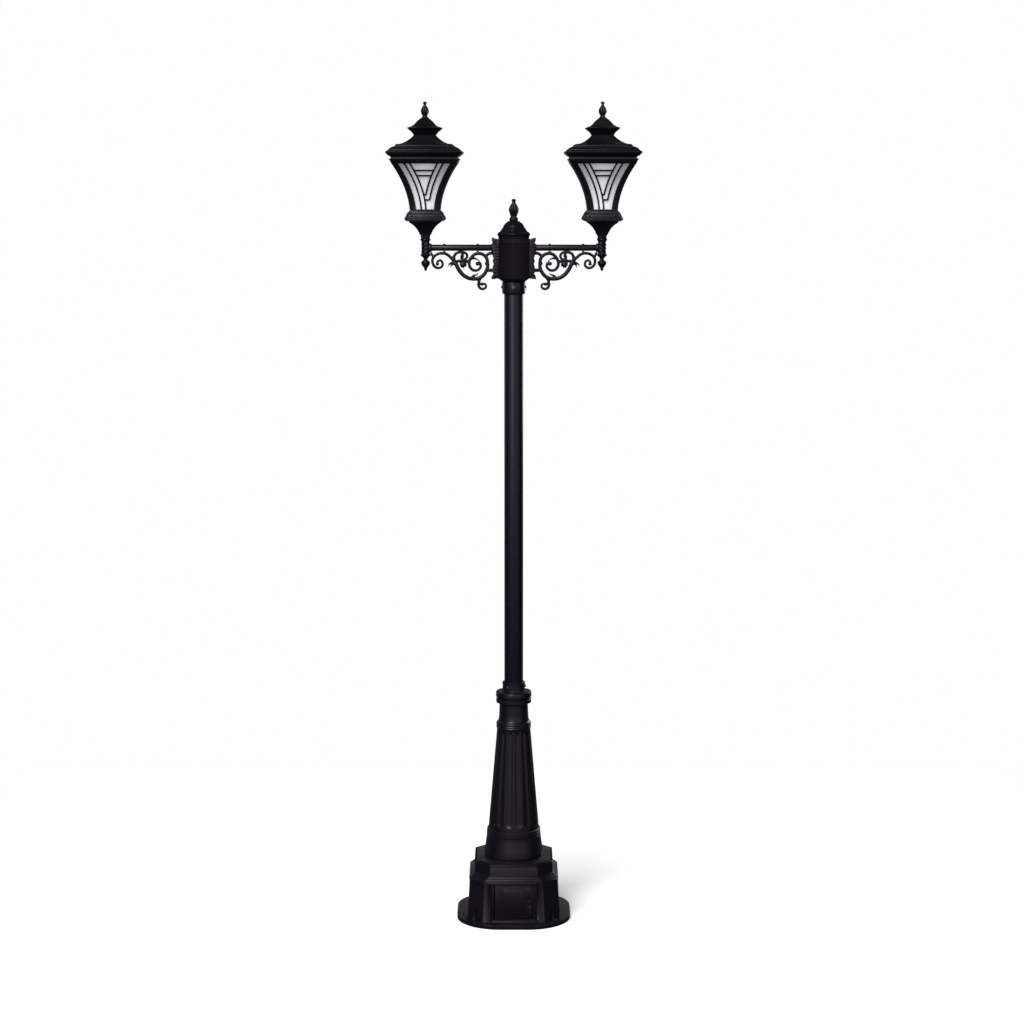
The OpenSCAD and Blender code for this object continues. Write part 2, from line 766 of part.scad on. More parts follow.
function bar_x(bar, z) =
  let (u = (z - cage_z) / cage_h)
  bar[0] * (cage_half(z) - frame_w - bar[1] - (bar[2] - bar[1]) * u);

module upright_bar(bar, z0) {
  polygon(strip([for (z = levels(z0, window_z1 + eps)) [bar_x(bar, z), z]], bar_w, bar_w));
}

// Level bar between two of the uprights
module cross_bar(left, right, z) {
  x0 = bar_x(left, z);
  translate([x0, z - bar_w / 2]) square([bar_x(right, z) - x0, bar_w]);
}

module window() {
  edge = cage_profile(frame_w, window_z0, window_z1);
  difference() {
    polygon(concat(edge, [for (i = [len(edge) - 1:-1:0]) [-edge[i][0], edge[i][1]]]));
    upright_bar(outer_left, window_z0 - eps);
    upright_bar(inner_left, window_z0 - eps);
    upright_bar(inner_right, inner_bar_z);
    upright_bar(outer_right, outer_bar_z);
    cross_bar(inner_left, inner_right, inner_bar_z);
    cross_bar(inner_left, outer_right, outer_bar_z);
    cross_bar(inner_left, inner_right, window_z1 - 27);
    cross_bar(inner_left, inner_right, window_z1 - 47);
  }
}

module cage() {
  color(coat) difference() {
    stacked(cage_profile(0, cage_z, cage_top));
    difference() {
      stacked(concat([[cage_half(cage_z) - cage_wall, cage_z - eps]],
                     cage_profile(cage_wall, cage_z, cage_top),
                     [[cage_half(cage_top) - cage_wall, cage_top + eps]]));
      // Flange that carries the roof
      difference() {
        translate([-cage_top_w, -cage_top_w, cage_top - 5])
          cube([2 * cage_top_w, 2 * cage_top_w, 5]);
        translate([0, 0, cage_top]) cube(
          [cage_top_w - 2 * cage_wall - 2 * rim_flange, cage_top_w - 2 * cage_wall - 2 * rim_flange, 20],
          center = true);
      }
    }
    for (a = [0:90:270])
      rotate([0, 0, a]) rotate([90, 0, 0]) linear_extrude(cage_top_w) window();
  }
}

module glass_panes() {
  z0 = cage_z + 2;
  z1 = cage_top - 10;
  outer = cage_profile(cage_wall + seat, z0, z1);
  inner = cage_profile(cage_wall + seat + pane_t, z0, z1);
  band = concat(outer, [for (i = [cage_steps:-1:0]) inner[i]]);
  edge = [for (p = inner) [p[0] - 2, p[1]]];
  color(frost)
    for (a = [0:90:270])
      rotate([0, 0, a]) intersection() {
        rotate([90, 0, 90]) linear_extrude(2 * cage_top_w, center = true) polygon(band);
        rotate([90, 0, 0]) linear_extrude(2 * cage_top_w, center = true)
          polygon(concat(edge, [for (i = [cage_steps:-1:0]) [-edge[i][0], edge[i][1]]]));
      }
}

module roof_gasket() {
  w = cage_top_w - 2 * cage_wall;
  color(rubber) translate([0, 0, cage_top]) difference() {
    translate([-w / 2, -w / 2, 0]) cube([w, w, gasket_t]);
    cube([w - 2 * rim_flange, w - 2 * rim_flange, 20], center = true);
  }
}

module roof_bridge() {
  l = cage_top_w - 2 * cage_wall - 16;
  color(steel) {
    translate([-l / 2, -10, cage_top - 5 - 4]) cube([l, 20, 4]);
    translate([0, 0, cage_top - 9]) cylinder(d = roof_stud_d, h = finial_z + 18 - cage_top + 9);
  }
}

module roof() {
  r = cage_top_w / 2;
  brim = r + brim_out;
  z = roof_z;
  color(coat) difference() {
    stacked([
      [r - 7.5, z], [r - 7.5, z + 4.5], [r - 3.5, z + 8], [brim - 5.5, z + 16], [brim, z + 24],
      [brim - 10.5, z + 32], [brim - 22, z + 40], [brim - 34, z + 47], [brim - 45, z + 55],
      [brim - 65.5, z + 59], [brim - 80, z + 66], [58, z + 75], [49, z + 83], [43, z + roof_h]]);
    stacked([
      [r - 20, z - eps], [r - 20, z + 10], [brim - 12, z + 21], [brim - 12, z + 26],
      [brim - 40, z + 43], [brim - 60, z + 52], [brim - 84, z + 58], [52, z + 70],
      [38, z + 80], [36, z + roof_h - 6]]);
    cylinder(d = roof_stud_d + 1, h = z + roof_h + eps);
  }
}

module crown() {
  z = crown_z;
  color(coat) difference() {
    stacked([
      [43, z], [51.5, z + 12], [61, z + 20], [68.5, z + 27.5], [50, z + 35], [39.5, z + 43],
      [33, z + 51], [25, z + 59], [16, z + crown_h]]);
    stacked([[36, z - eps], [44, z + 12], [50, z + 22], [38, z + 34], [26, z + 44], [12, z + 50]]);
    cylinder(d = roof_stud_d + 1, h = z + crown_h + eps);
  }
}

module finial() {
  color(coat) translate([0, 0, finial_z + seat]) difference() {
    turned([
      [16, 0], [12, 3], [9.5, 8], [10.5, 12], [14, 18], [16.2, 26], [15.5, 33], [11, 42],
      [6, 50], [5, 53], [7, 56], [8, 59], [6.5, 62], [3, 64.7]]);
    translate([0, 0, -eps]) cylinder(d = roof_stud_d + 1, h = 22 + eps);
  }
}

module lamp_holder() {
  color(plastic) translate([0, 0, holder_z]) difference() {
    turned([[15, 0], [holder_r - 1, 5], [holder_r, 8], [holder_r, holder_h - 2],
            [holder_r - 2, holder_h]]);
    translate([0, 0, holder_h - lamp_base_h - 1])
      cylinder(r = lamp_base_r + seat, h = lamp_base_h + 1 + eps);
    translate([0, 0, -eps]) cylinder(d = lead_d + 1, h = 6);
  }
}

module lamp() {
  foot = holder_z + holder_h - lamp_base_h;
  color(frost) translate([0, 0, foot]) {
    turned([
      [4, 0], [6, 2], [lamp_base_r, 3.5], [lamp_base_r, lamp_base_h], [14.5, lamp_base_h + 4],
      [17, lamp_base_h + 14], [globe_d / 2 - 7, lamp_base_h + 26],
      [globe_d / 2 - 2, lamp_base_h + 38], [globe_d / 2, lamp_base_h + 50],
      [globe_d / 2 - 2, lamp_base_h + 61], [globe_d / 2 - 8, lamp_base_h + 71],
      [globe_d / 2 - 18, lamp_base_h + 78], [3, lamp_base_h + 80]]);
  }
}

// ---- Left side ----

module bracket_plate_left() { on_side(-1) bracket_plate(); }
module arm_tube_left() { on_side(-1) arm_tube(); }
module scroll_left() { on_side(-1) scroll(); }
module scroll_screws_left() { on_side(-1) scroll_screws(); }
module arm_lead_left() { on_side(-1) arm_lead(); }
module stem_left() { at_lantern(-1) on_side(-1) stem(); }
module drop_finial_left() { at_lantern(-1) drop_finial(); }
module cup_left() { at_lantern(-1) cup(); }
module cage_left() { at_lantern(-1) cage(); }
module glass_panes_left() { at_lantern(-1) glass_panes(); }
module roof_gasket_left() { at_lantern(-1) roof_gasket(); }
module roof_bridge_left() { at_lantern(-1) roof_bridge(); }
module roof_left() { at_lantern(-1) roof(); }
module crown_left() { at_lantern(-1) crown(); }
module finial_left() { at_lantern(-1) finial(); }
module lamp_holder_left() { at_lantern(-1) lamp_holder(); }
module lamp_left() { at_lantern(-1) lamp(); }

// ---- Right side ----

module bracket_plate_right() { bracket_plate(); }
module arm_tube_right() { arm_tube(); }
module scroll_right() { scroll(); }
module scroll_screws_right() { scroll_screws(); }
module arm_lead_right() { arm_lead(); }
module stem_right() { at_lantern(1) stem(); }
module drop_finial_right() { at_lantern(1) drop_finial(); }
module cup_right() { at_lantern(1) cup(); }
module cage_right() { at_lantern(1) cage(); }
module glass_panes_right() { at_lantern(1) glass_panes(); }
module roof_gasket_right() { at_lantern(1) roof_gasket(); }
module roof_bridge_right() { at_lantern(1) roof_bridge(); }
module roof_right() { at_lantern(1) roof(); }
module crown_right() { at_lantern(1) crown(); }
module finial_right() { at_lantern(1) finial(); }
module lamp_holder_right() { at_lantern(1) lamp_holder(); }
module lamp_right() { at_lantern(1) lamp(); }

base_pedestal();
base_column();
column_bolts();
pole_tube();
column_set_screws();
access_door();
door_hinge_pins();
door_lock();
cutout_bracket();
fuse_cutout();
earth_stud();
pole_cable();
head_socket();
head_set_screws();
head_box();
cap_stud();
junction_block();
cap_gasket();
head_cap();
head_finial();
bracket_plate_left();
arm_tube_left();
scroll_left();
scroll_screws_left();
arm_lead_left();
stem_left();
drop_finial_left();
cup_left();
cage_left();
glass_panes_left();
roof_gasket_left();
roof_bridge_left();
roof_left();
crown_left();
finial_left();
lamp_holder_left();
lamp_left();
bracket_plate_right();
arm_tube_right();
scroll_right();
scroll_screws_right();
arm_lead_right();
stem_right();
drop_finial_right();
cup_right();
cage_right();
glass_panes_right();
roof_gasket_right();
roof_bridge_right();
roof_right();
crown_right();
finial_right();
lamp_holder_right();
lamp_right();
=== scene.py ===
import bpy
import bmesh
import math
from mathutils import Matrix, Vector


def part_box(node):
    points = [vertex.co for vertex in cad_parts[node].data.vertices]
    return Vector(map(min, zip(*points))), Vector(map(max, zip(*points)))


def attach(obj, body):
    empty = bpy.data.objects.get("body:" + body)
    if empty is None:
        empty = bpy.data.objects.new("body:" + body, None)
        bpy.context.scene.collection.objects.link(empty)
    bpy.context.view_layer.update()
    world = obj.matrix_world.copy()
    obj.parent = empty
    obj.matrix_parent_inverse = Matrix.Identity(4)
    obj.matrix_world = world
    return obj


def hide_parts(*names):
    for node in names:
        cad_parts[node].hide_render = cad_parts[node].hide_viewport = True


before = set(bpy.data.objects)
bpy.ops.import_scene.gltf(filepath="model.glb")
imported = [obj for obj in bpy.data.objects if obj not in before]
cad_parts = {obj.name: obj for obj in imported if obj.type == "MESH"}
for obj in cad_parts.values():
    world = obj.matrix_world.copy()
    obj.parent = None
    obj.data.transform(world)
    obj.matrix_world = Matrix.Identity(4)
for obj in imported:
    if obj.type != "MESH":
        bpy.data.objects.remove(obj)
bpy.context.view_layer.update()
mm = 0.001
sides = {"left": -1, "right": 1}


# Places taken from the frame
def centre(node):
    low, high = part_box(node)
    return (Vector(low) + Vector(high)) / 2


def bottom(node):
    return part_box(node)[0][2]


def top(node):
    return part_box(node)[1][2]


armZ = centre("arm_tube_right").z
reach = centre("cup_right").x


# A number or colour travelling through the shader, so that maths reads as maths
class Wire:
    def __init__(self, tree, socket):
        self.tree = tree
        self.socket = socket

    def op(self, kind, *others):
        node = self.tree.nodes.new("ShaderNodeMath")
        node.operation = kind
        for place, value in enumerate((self,) + others):
            if isinstance(value, Wire):
                self.tree.links.new(value.socket, node.inputs[place])
            else:
                node.inputs[place].default_value = value
        return Wire(self.tree, node.outputs[0])

    def __add__(self, other): return self.op("ADD", other)
    def __sub__(self, other): return self.op("SUBTRACT", other)
    def __rsub__(self, other): return (self * -1) + other
    def __mul__(self, other): return self.op("MULTIPLY", other)
    def __truediv__(self, other): return self.op("DIVIDE", other)

    def clip(self):
        return self.op("MINIMUM", 1.0).op("MAXIMUM", 0.0)

    # 0 up to the start, then up to 1 over the span
    def rise(self, start, span):
        return ((self - start) / span).clip()


class Finish:
    def __init__(self, name):
        self.material = bpy.data.materials.new(name)
        self.material.use_nodes = True
        self.tree = self.material.node_tree
        self.shader = self.tree.nodes["Principled BSDF"]
        self.place = self.node("ShaderNodeTexCoord", out="Object")

    # Adds any node: its settings are set first, then its sockets get values or links
    def node(self, kind, settings=None, sockets=None, out=0):
        node = self.tree.nodes.new(kind)
        for name, value in (settings or {}).items():
            setattr(node, name, value)
        for name, value in (sockets or {}).items():
            if isinstance(value, Wire):
                self.tree.links.new(value.socket, node.inputs[name])
            else:
                node.inputs[name].default_value = value
        return Wire(self.tree, node.outputs[out])

    def noise(self, scale, detail=3.0, roughness=0.5, place=None):
        return self.node("ShaderNodeTexNoise", sockets={
            "Vector": place or self.place, "Scale": scale, "Detail": detail, "Roughness": roughness})

    def stretched(self, x, y, z):
        return self.node("ShaderNodeMapping", sockets={"Vector": self.place, "Scale": (x, y, z)})

    # Turns a value into a mask that rises from 0 at low to 1 at high
    def band(self, value, low, high):
        return value.rise(low, high - low)

    def blend(self, factor, first, second):
        return self.node("ShaderNodeMix", {"data_type": "RGBA"}, {0: factor, 6: first, 7: second}, out=2)

    def upward(self):
        normal = self.node("ShaderNodeNewGeometry", out="Normal")
        return self.node("ShaderNodeSeparateXYZ", sockets={"Vector": normal}, out="Z")

    def edges(self, low, high):
        return self.band(self.node("ShaderNodeNewGeometry", out="Pointiness"), low, high)

    def bump(self, height, strength, distance, below=None):
        sockets = {"Height": height, "Strength": strength, "Distance": distance}
        if below:
            sockets["Normal"] = below
        return self.node("ShaderNodeBump", sockets=sockets)

    def feed(self, **inputs):
        for name, value in inputs.items():
            socket = self.shader.inputs[name.replace("_", " ")]
            if isinstance(value, Wire):
                self.tree.links.new(value.socket, socket)
            else:
                socket.default_value = value
        return self.material


def powderCoat():
    f = Finish("powder coat")
    broad = f.noise(9, 4)
    fine = f.noise(120, 3)
    peel = f.noise(620, 2)
    grain = f.noise(2300, 1)
    dust = f.band(f.upward(), 0.35, 0.95) * f.band(broad + fine * 0.35, 0.45, 1.05)
    wear = f.edges(0.53, 0.60) * f.band(fine, 0.42, 0.7)
    coat = f.blend(broad, (0.0022, 0.0019, 0.0033, 1), (0.0046, 0.0040, 0.0062, 1))
    dusty = f.blend(dust * 0.14, coat, (0.045, 0.044, 0.043, 1))
    worn = f.blend(wear * 0.35, dusty, (0.035, 0.034, 0.038, 1))
    rough = broad * 0.08 + fine * 0.06 + dust * 0.16 + 0.25
    surface = f.bump(peel + grain * 0.3, 0.22, 0.00025)
    return f.feed(Base_Color=worn, Roughness=rough, Normal=f.bump(fine, 0.10, 0.0008, surface),
                  Specular_IOR_Level=0.24, Specular_Tint=(0.97, 0.90, 1.0, 1))


# Lighter towards the middle of each pane, where the two sides' shadows don't reach
def frostedGlass():
    f = Finish("frosted glass")
    x, y = (f.node("ShaderNodeSeparateXYZ", sockets={"Vector": f.place}, out=axis) for axis in "XY")
    across = (x.op("ABSOLUTE") - reach).op("ABSOLUTE").op("MINIMUM", y.op("ABSOLUTE"))
    cloud = f.noise(11, 4)
    grit = f.noise(1500, 2)
    streak = f.noise(30, 3, place=f.stretched(1, 1, 0.12))
    middle = 1 - f.band(across, 0.008, 0.085)
    glow = (middle * 0.75 + cloud * 0.2 + streak * 0.15).clip()
    tint = f.blend(glow, (0.34, 0.35, 0.38, 1), (0.94, 0.95, 0.97, 1))
    return f.feed(Base_Color=tint, Roughness=cloud * 0.10 + 0.36, Normal=f.bump(grit, 0.15, 0.0002),
                  Specular_IOR_Level=0.5)


def steel():
    f = Finish("steel")
    brush = f.noise(300, 3, place=f.stretched(1, 1, 0.05))
    spots = f.noise(45, 4)
    tint = f.blend(spots, (0.36, 0.36, 0.37, 1), (0.56, 0.56, 0.57, 1))
    return f.feed(Base_Color=tint, Metallic=1.0, Roughness=brush * 0.18 + spots * 0.1 + 0.22,
                  Normal=f.bump(brush, 0.12, 0.0002))


def blackenedSteel():
    f = Finish("blackened steel")
    spots = f.noise(180, 4)
    wear = f.edges(0.52, 0.60)
    tint = f.blend(wear * 0.5 + spots * 0.3, (0.03, 0.029, 0.031, 1), (0.22, 0.22, 0.23, 1))
    return f.feed(Base_Color=tint, Metallic=0.8, Roughness=spots * 0.2 + 0.28,
                  Normal=f.bump(spots, 0.1, 0.0002))


def brass():
    f = Finish("brass")
    spots = f.noise(90, 4)
    tint = f.blend(spots, (0.42, 0.27, 0.08, 1), (0.62, 0.44, 0.17, 1))
    return f.feed(Base_Color=tint, Metallic=1.0, Roughness=spots * 0.25 + 0.22)


def mouldedPlastic():
    f = Finish("moulded plastic")
    grain = f.noise(900, 2)
    cloud = f.noise(25, 3)
    tint = f.blend(cloud, (0.50, 0.49, 0.45, 1), (0.60, 0.59, 0.55, 1))
    return f.feed(Base_Color=tint, Roughness=cloud * 0.12 + 0.42, Normal=f.bump(grain, 0.2, 0.0002))


def cableSheath():
    f = Finish("cable sheath")
    fine = f.noise(260, 3)
    tint = f.blend(fine, (0.010, 0.010, 0.010, 1), (0.028, 0.028, 0.028, 1))
    return f.feed(Base_Color=tint, Roughness=fine * 0.2 + 0.5, Normal=f.bump(fine, 0.15, 0.0003))


def spongeRubber():
    f = Finish("sponge rubber")
    pores = f.node("ShaderNodeTexVoronoi", sockets={"Vector": f.place, "Scale": 900.0})
    tint = f.blend(pores, (0.006, 0.006, 0.006, 1), (0.025, 0.025, 0.025, 1))
    return f.feed(Base_Color=tint, Roughness=pores * 0.2 + 0.7, Normal=f.bump(pores, 0.4, 0.0003))


def glazedCeramic():
    f = Finish("glazed ceramic")
    cloud = f.noise(60, 3)
    tint = f.blend(cloud, (0.70, 0.69, 0.65, 1), (0.80, 0.79, 0.76, 1))
    return f.feed(Base_Color=tint, Roughness=cloud * 0.1 + 0.12, Coat_Weight=0.5)


finishes = {
    "powder_coat": powderCoat(), "frosted_glass": frostedGlass(), "steel": steel(), "brass": brass(),
    "plastic": mouldedPlastic(), "cable_black": cableSheath(), "gasket_rubber": spongeRubber(),
    "ceramic_holder": glazedCeramic()}
blackened = blackenedSteel()
print("finishes made")


def deselectAll():
    if bpy.context.mode != "OBJECT":
        bpy.ops.object.mode_set(mode="OBJECT")
    bpy.ops.object.select_all(action="DESELECT")


def takeUp(piece):
    deselectAll()
    piece.select_set(True)
    bpy.context.view_layer.objects.active = piece


def edit(piece, pick="SELECT"):
    takeUp(piece)
    bpy.ops.object.mode_set(mode="EDIT")
    bpy.ops.mesh.select_mode(type="VERT")
    bpy.ops.mesh.select_all(action=pick)


def moveMesh(piece, place):
    piece.data.transform(Matrix.Translation(place))


# Draws a shell ring by ring: each ring is a half-width across the flats, or a radius, and a height
def stackRings(name, corners, rings, closed=False):
    deselectAll()
    spread = 1 if corners > 12 else 1 / math.cos(math.pi / corners)
    turn = {4: math.pi / 4, 8: math.pi / 8}.get(corners, 0)
    tiny = 1e-6
    path = [(max(r, tiny), z) for r, z in (rings + rings[:1] if closed else rings)]
    bpy.ops.mesh.primitive_circle_add(vertices=corners, radius=path[0][0] * spread,
                                      location=(0, 0, path[0][1]), rotation=(0, 0, turn))
    piece = bpy.context.object
    piece.name = name
    bpy.ops.object.transform_apply(location=True, rotation=True)
    bpy.ops.object.mode_set(mode="EDIT")
    bpy.ops.mesh.select_all(action="SELECT")
    for (r0, z0), (r1, z1) in zip(path, path[1:]):
        bpy.ops.mesh.extrude_edges_move(TRANSFORM_OT_translate={"value": (0, 0, z1 - z0)})
        grow = r1 / r0
        bpy.ops.transform.resize(value=(grow, grow, 1), center_override=(0, 0, z1))
    bpy.ops.mesh.select_all(action="SELECT")
    bpy.ops.mesh.remove_doubles(threshold=2e-6)
    bpy.ops.mesh.normals_make_consistent(inside=False)
    bpy.ops.object.mode_set(mode="OBJECT")
    return piece


# The same for a square whose corners are cut off by a fixed length
def stackCutSquares(name, cut, rings, closed=True):
    piece = stackRings(name, 8, rings, closed)
    for vertex in piece.data.vertices:
        x, y = vertex.co.x, vertex.co.y
        half = max(abs(x), abs(y))
        if abs(x) > abs(y):
            vertex.co.y = math.copysign(half - cut, y)
        else:
            vertex.co.x = math.copysign(half - cut, x)
    return piece


# Rounds the gentle stretches of an outline and keeps its sharp corners
def easeOutline(points, steps=3, corner=32):
    def direction(a, b):
        return math.degrees(math.atan2(b[1] - a[1], b[0] - a[0]))
    count = len(points)
    sharp = [True] * count
    for i in range(1, count - 1):
        turn = direction(points[i], points[i + 1]) - direction(points[i - 1], points[i])
        sharp[i] = abs((turn + 180) % 360 - 180) > corner
    eased = []
    for i in range(count - 1):
        b, c = Vector(points[i]), Vector(points[i + 1])
        a = b * 2 - c if sharp[i] else Vector(points[i - 1])
        d = c * 2 - b if sharp[i + 1] else Vector(points[i + 2])
        for j in range(steps):
            t = j / steps
            p = b + t / 2 * ((c - a) + t * ((2 * a - 5 * b + 4 * c - d) + t * (3 * (b - c) + d - a)))
            eased.append(tuple(p))
    return eased + [tuple(points[-1])]


# Outlines are rows of a radius, or of a half-width across the flats, and a height, in mm
def inMetres(points, dz=0.0):
    return [(r * mm, (z + dz) * mm) for r, z in points]


# A tube along a soft curve. Places and thickness are in mm, and each place has its own share of the thickness
def softTube(name, places, shares, thickness, rounding, steps):
    curve = bpy.data.curves.new(name, "CURVE")
    curve.dimensions = "3D"
    curve.bevel_depth = thickness * mm
    curve.bevel_resolution = rounding
    curve.use_fill_caps = True
    curve.resolution_u = steps
    spline = curve.splines.new("BEZIER")
    spline.bezier_points.add(len(places) - 1)
    for point, place, share in zip(spline.bezier_points, places, shares):
        point.co = [v * mm for v in place]
        point.handle_left_type = point.handle_right_type = "AUTO"
        point.radius = share
    piece = bpy.data.objects.new(name, curve)
    bpy.context.scene.collection.objects.link(piece)
    takeUp(piece)
    bpy.ops.object.convert(target="MESH")
    return bpy.context.object


ridgePick = {"offAxis": 4 * mm, "lean": 0.01}


# Bevels the ridges that run up a square or six-sided stack
def bevelRidges(piece, width, segments=2):
    edit(piece, "DESELECT")
    bpy.ops.mesh.select_mode(type="EDGE")
    bm = bmesh.from_edit_mesh(piece.data)
    for edge in bm.edges:
        a, b = (v.co for v in edge.verts)
        offAxis = min(a.xy.length, b.xy.length) > ridgePick["offAxis"]
        if offAxis and abs(a.xy.angle_signed(b.xy)) < ridgePick["lean"]:
            edge.select_set(True)
    bmesh.update_edit_mesh(piece.data)
    bpy.ops.mesh.bevel(offset=width, segments=segments, affect="EDGES", clamp_overlap=True)
    bpy.ops.object.mode_set(mode="OBJECT")


def modifier(piece, kind, **settings):
    takeUp(piece)
    added = piece.modifiers.new(kind.lower(), kind)
    for name, value in settings.items():
        setattr(added, name, value)
    bpy.ops.object.modifier_apply(modifier=added.name)


def soften(piece, width, segments=2, angle=32):
    modifier(piece, "BEVEL", width=width, segments=segments, limit_method="ANGLE",
             angle_limit=math.radians(angle), harden_normals=False)


def smoothShade(piece, angle=38):
    takeUp(piece)
    bpy.ops.object.shade_smooth_by_angle(angle=math.radians(angle))


def copyPiece(piece, name, change):
    twin = piece.copy()
    twin.data = piece.data.copy()
    twin.name = name
    bpy.context.scene.collection.objects.link(twin)
    twin.data.transform(change)
    if change.determinant() < 0:
        twin.data.flip_normals()
    return twin


def joinPieces(pieces, name):
    deselectAll()
    for piece in pieces:
        piece.select_set(True)
    bpy.context.view_layer.objects.active = pieces[0]
    bpy.ops.object.join()
    pieces[0].name = name
    return pieces[0]


def settle(piece, body, slot, nodes=(), finish=None):
    piece.data.materials.clear()
    piece.data.materials.append(finish or finishes[slot])
    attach(piece, body)
    if nodes:
        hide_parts(*nodes)
    return piece


# Copies a CAD node, merges it, and softens its edges as a casting's are
def fromNode(node, name, soft=0.6 * mm, angle=32, shade=38, segments=2):
    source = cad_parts[node]
    piece = source.copy()
    piece.data = source.data.copy()
    piece.parent = None
    piece.matrix_world = Matrix.Identity(4)
    piece.name = name
    bpy.context.scene.collection.objects.link(piece)
    for key in list(piece.keys()):
        del piece[key]
    edit(piece)
    bpy.ops.mesh.remove_doubles(threshold=1e-5)
    bpy.ops.mesh.dissolve_limited(angle_limit=math.radians(0.5))
    bpy.ops.object.mode_set(mode="OBJECT")
    if soft:
        soften(piece, soft, segments, angle)
    smoothShade(piece, angle=shade)
    return piece


view = {"place": (-0.007, -9.5, 3.0), "down": 7.98, "lens": 83.7, "farthest": 400}
studio = {"white": (0.995, 0.995, 1.0, 1), "backdrop": 1.0, "front": 1.0, "behind": 0.22, "sides": 0.03,
          "lowest": 0.15}
# Start and span of the studio's bright front, of its dim back, and of the fall-off towards the ground
studioBands = {"front": (0.35, 0.40), "behind": (0.45, 0.40), "level": (-0.36, 0.36)}
sunlight = {"strength": 2.7, "turn": (48, 0, -26), "spread": 30}
# The floor's mirrored colour is also the painted shadow on the floor inside the hollow pedestal, within the hollow
# radii
floorLook = {"size": 5.0, "sunk": 0.0005, "glow": 0.28, "hollow": (0.19, 0.20),
             "pale": ((0.94, 0.94, 0.945, 1), (0.955, 0.955, 0.96, 1)), "mirrored": (0.08, 0.08, 0.085, 1)}
softboxes = {
    "front": {"place": (-2.6, -9.0, 3.7), "aim": (0, 0, 2.4), "power": 110, "size": (2.0, 3.2)},
    "side": {"place": (7.0, -4.5, 3.0), "aim": (0, 0, 1.8), "power": 14, "size": (0.9, 5.0)},
    "rear": {"place": (5.6, 8.0, 3.6), "aim": (0, 0, 1.6), "power": 200, "size": (2.5, 4.5)},
    "far side": {"place": (-7.5, 4.5, 3.2), "aim": (0, 0, 1.6), "power": 25, "size": (1.5, 4.5)}}


def setStage():
    bpy.ops.object.camera_add(location=view["place"], rotation=(math.radians(90 - view["down"]), 0, 0))
    camera = bpy.context.object
    camera.data.lens = view["lens"]
    camera.data.clip_end = view["farthest"]
    bpy.context.scene.camera = camera
    bpy.ops.mesh.primitive_plane_add(size=floorLook["size"], location=(0, 0, -floorLook["sunk"]))
    floor = bpy.context.object
    floor.name = "floor"
    f = Finish("pale floor")
    pale = f.blend(f.noise(2.0, 3), *floorLook["pale"])
    # White to the eye, dim in what the coat mirrors. Inside the hollow pedestal the camera sees the dim colour,
    # with no glow, as a painted shadow
    away = f.node("ShaderNodeVectorMath", {"operation": "LENGTH"}, {0: f.place}, out="Value")
    seenOutsidePaintedShadow = f.node("ShaderNodeLightPath", out="Is Camera Ray") * f.band(away, *floorLook["hollow"])
    floor.data.materials.append(f.feed(
        Base_Color=f.blend(seenOutsidePaintedShadow, floorLook["mirrored"], pale), Roughness=0.9, Specular_IOR_Level=0.1,
        Emission_Color=f.blend(seenOutsidePaintedShadow, (0, 0, 0, 1), (1, 1, 1, 1)), Emission_Strength=floorLook["glow"]))
    # The backdrop is white to the eye. In what the pieces mirror it is bright in front of the post, dim behind
    # it and dark beside it
    world = bpy.data.worlds.new("studio")
    bpy.context.scene.world = world
    world.use_nodes = True
    tree = world.node_tree
    background = tree.nodes["Background"]
    background.inputs["Color"].default_value = studio["white"]
    seen = Wire(tree, tree.nodes.new("ShaderNodeLightPath").outputs["Is Camera Ray"])
    axes = tree.nodes.new("ShaderNodeSeparateXYZ")
    tree.links.new(tree.nodes.new("ShaderNodeTexCoord").outputs["Generated"], axes.inputs["Vector"])
    y, z = (Wire(tree, axes.outputs[axis]) for axis in "YZ")
    forward = (y * -1).rise(*studioBands["front"])
    behind = y.rise(*studioBands["behind"])
    level = z.rise(*studioBands["level"]) * (1 - studio["lowest"]) + studio["lowest"]
    mirrored = forward * level * studio["front"] + behind * studio["behind"] + studio["sides"]
    strength = seen * studio["backdrop"] + (1 - seen) * mirrored
    tree.links.new(strength.socket, background.inputs["Strength"])
    bpy.ops.object.light_add(type="SUN", rotation=[math.radians(a) for a in sunlight["turn"]])
    sun = bpy.context.object
    sun.data.energy = sunlight["strength"]
    sun.data.angle = math.radians(sunlight["spread"])
    for name, box in softboxes.items():
        turn = (Vector(box["aim"]) - Vector(box["place"])).to_track_quat("-Z", "Y").to_euler()
        bpy.ops.object.light_add(type="AREA", location=box["place"], rotation=turn)
        light = bpy.context.object
        light.name = name
        light.data.shape = "RECTANGLE"
        light.data.energy = box["power"]
        light.data.size, light.data.size_y = box["size"]
    bpy.context.scene.view_settings.view_transform = "Standard"


setStage()
print("stage set")


# Frames round the doorway, from the inner one out: distance from the door, width and depth
pedestal = {"soft": 2.0 * mm, "cut": 62 * mm, "face": 2 * mm, "trimRound": 0.42, "lintelDrop": 0.8 * mm,
            "frames": ((2 * mm, 9 * mm, 5 * mm), (11 * mm, 5 * mm, 9 * mm))}
sill = {"extra": 24 * mm, "high": 5 * mm, "deep": 14 * mm, "below": 4.2 * mm}
# Fields on the door, each inset from its edges and raised
doorFields = {"steps": ((30 * mm, 2.4 * mm), (35 * mm, 3.8 * mm)), "taller": 30 * mm, "sunk": 0.2 * mm}
shoulderOutline = [
    (179, 175.6), (181.2, 177.2), (181.2, 180.6), (178.6, 182), (178.6, 184), (174.6, 185.2), (173.6, 188.4),
    (170.4, 189.4), (170.4, 191.6), (166.2, 193), (165.2, 196.8), (162, 198), (162, 200.6), (159.6, 202),
    (152, 202), (152, 175.6)]
rimOutline = [
    (157.6, 238), (159.2, 240), (159.2, 243), (157.6, 244.4), (157.6, 246), (158.6, 247), (158.6, 249),
    (157.2, 250), (151, 250), (151, 238)]


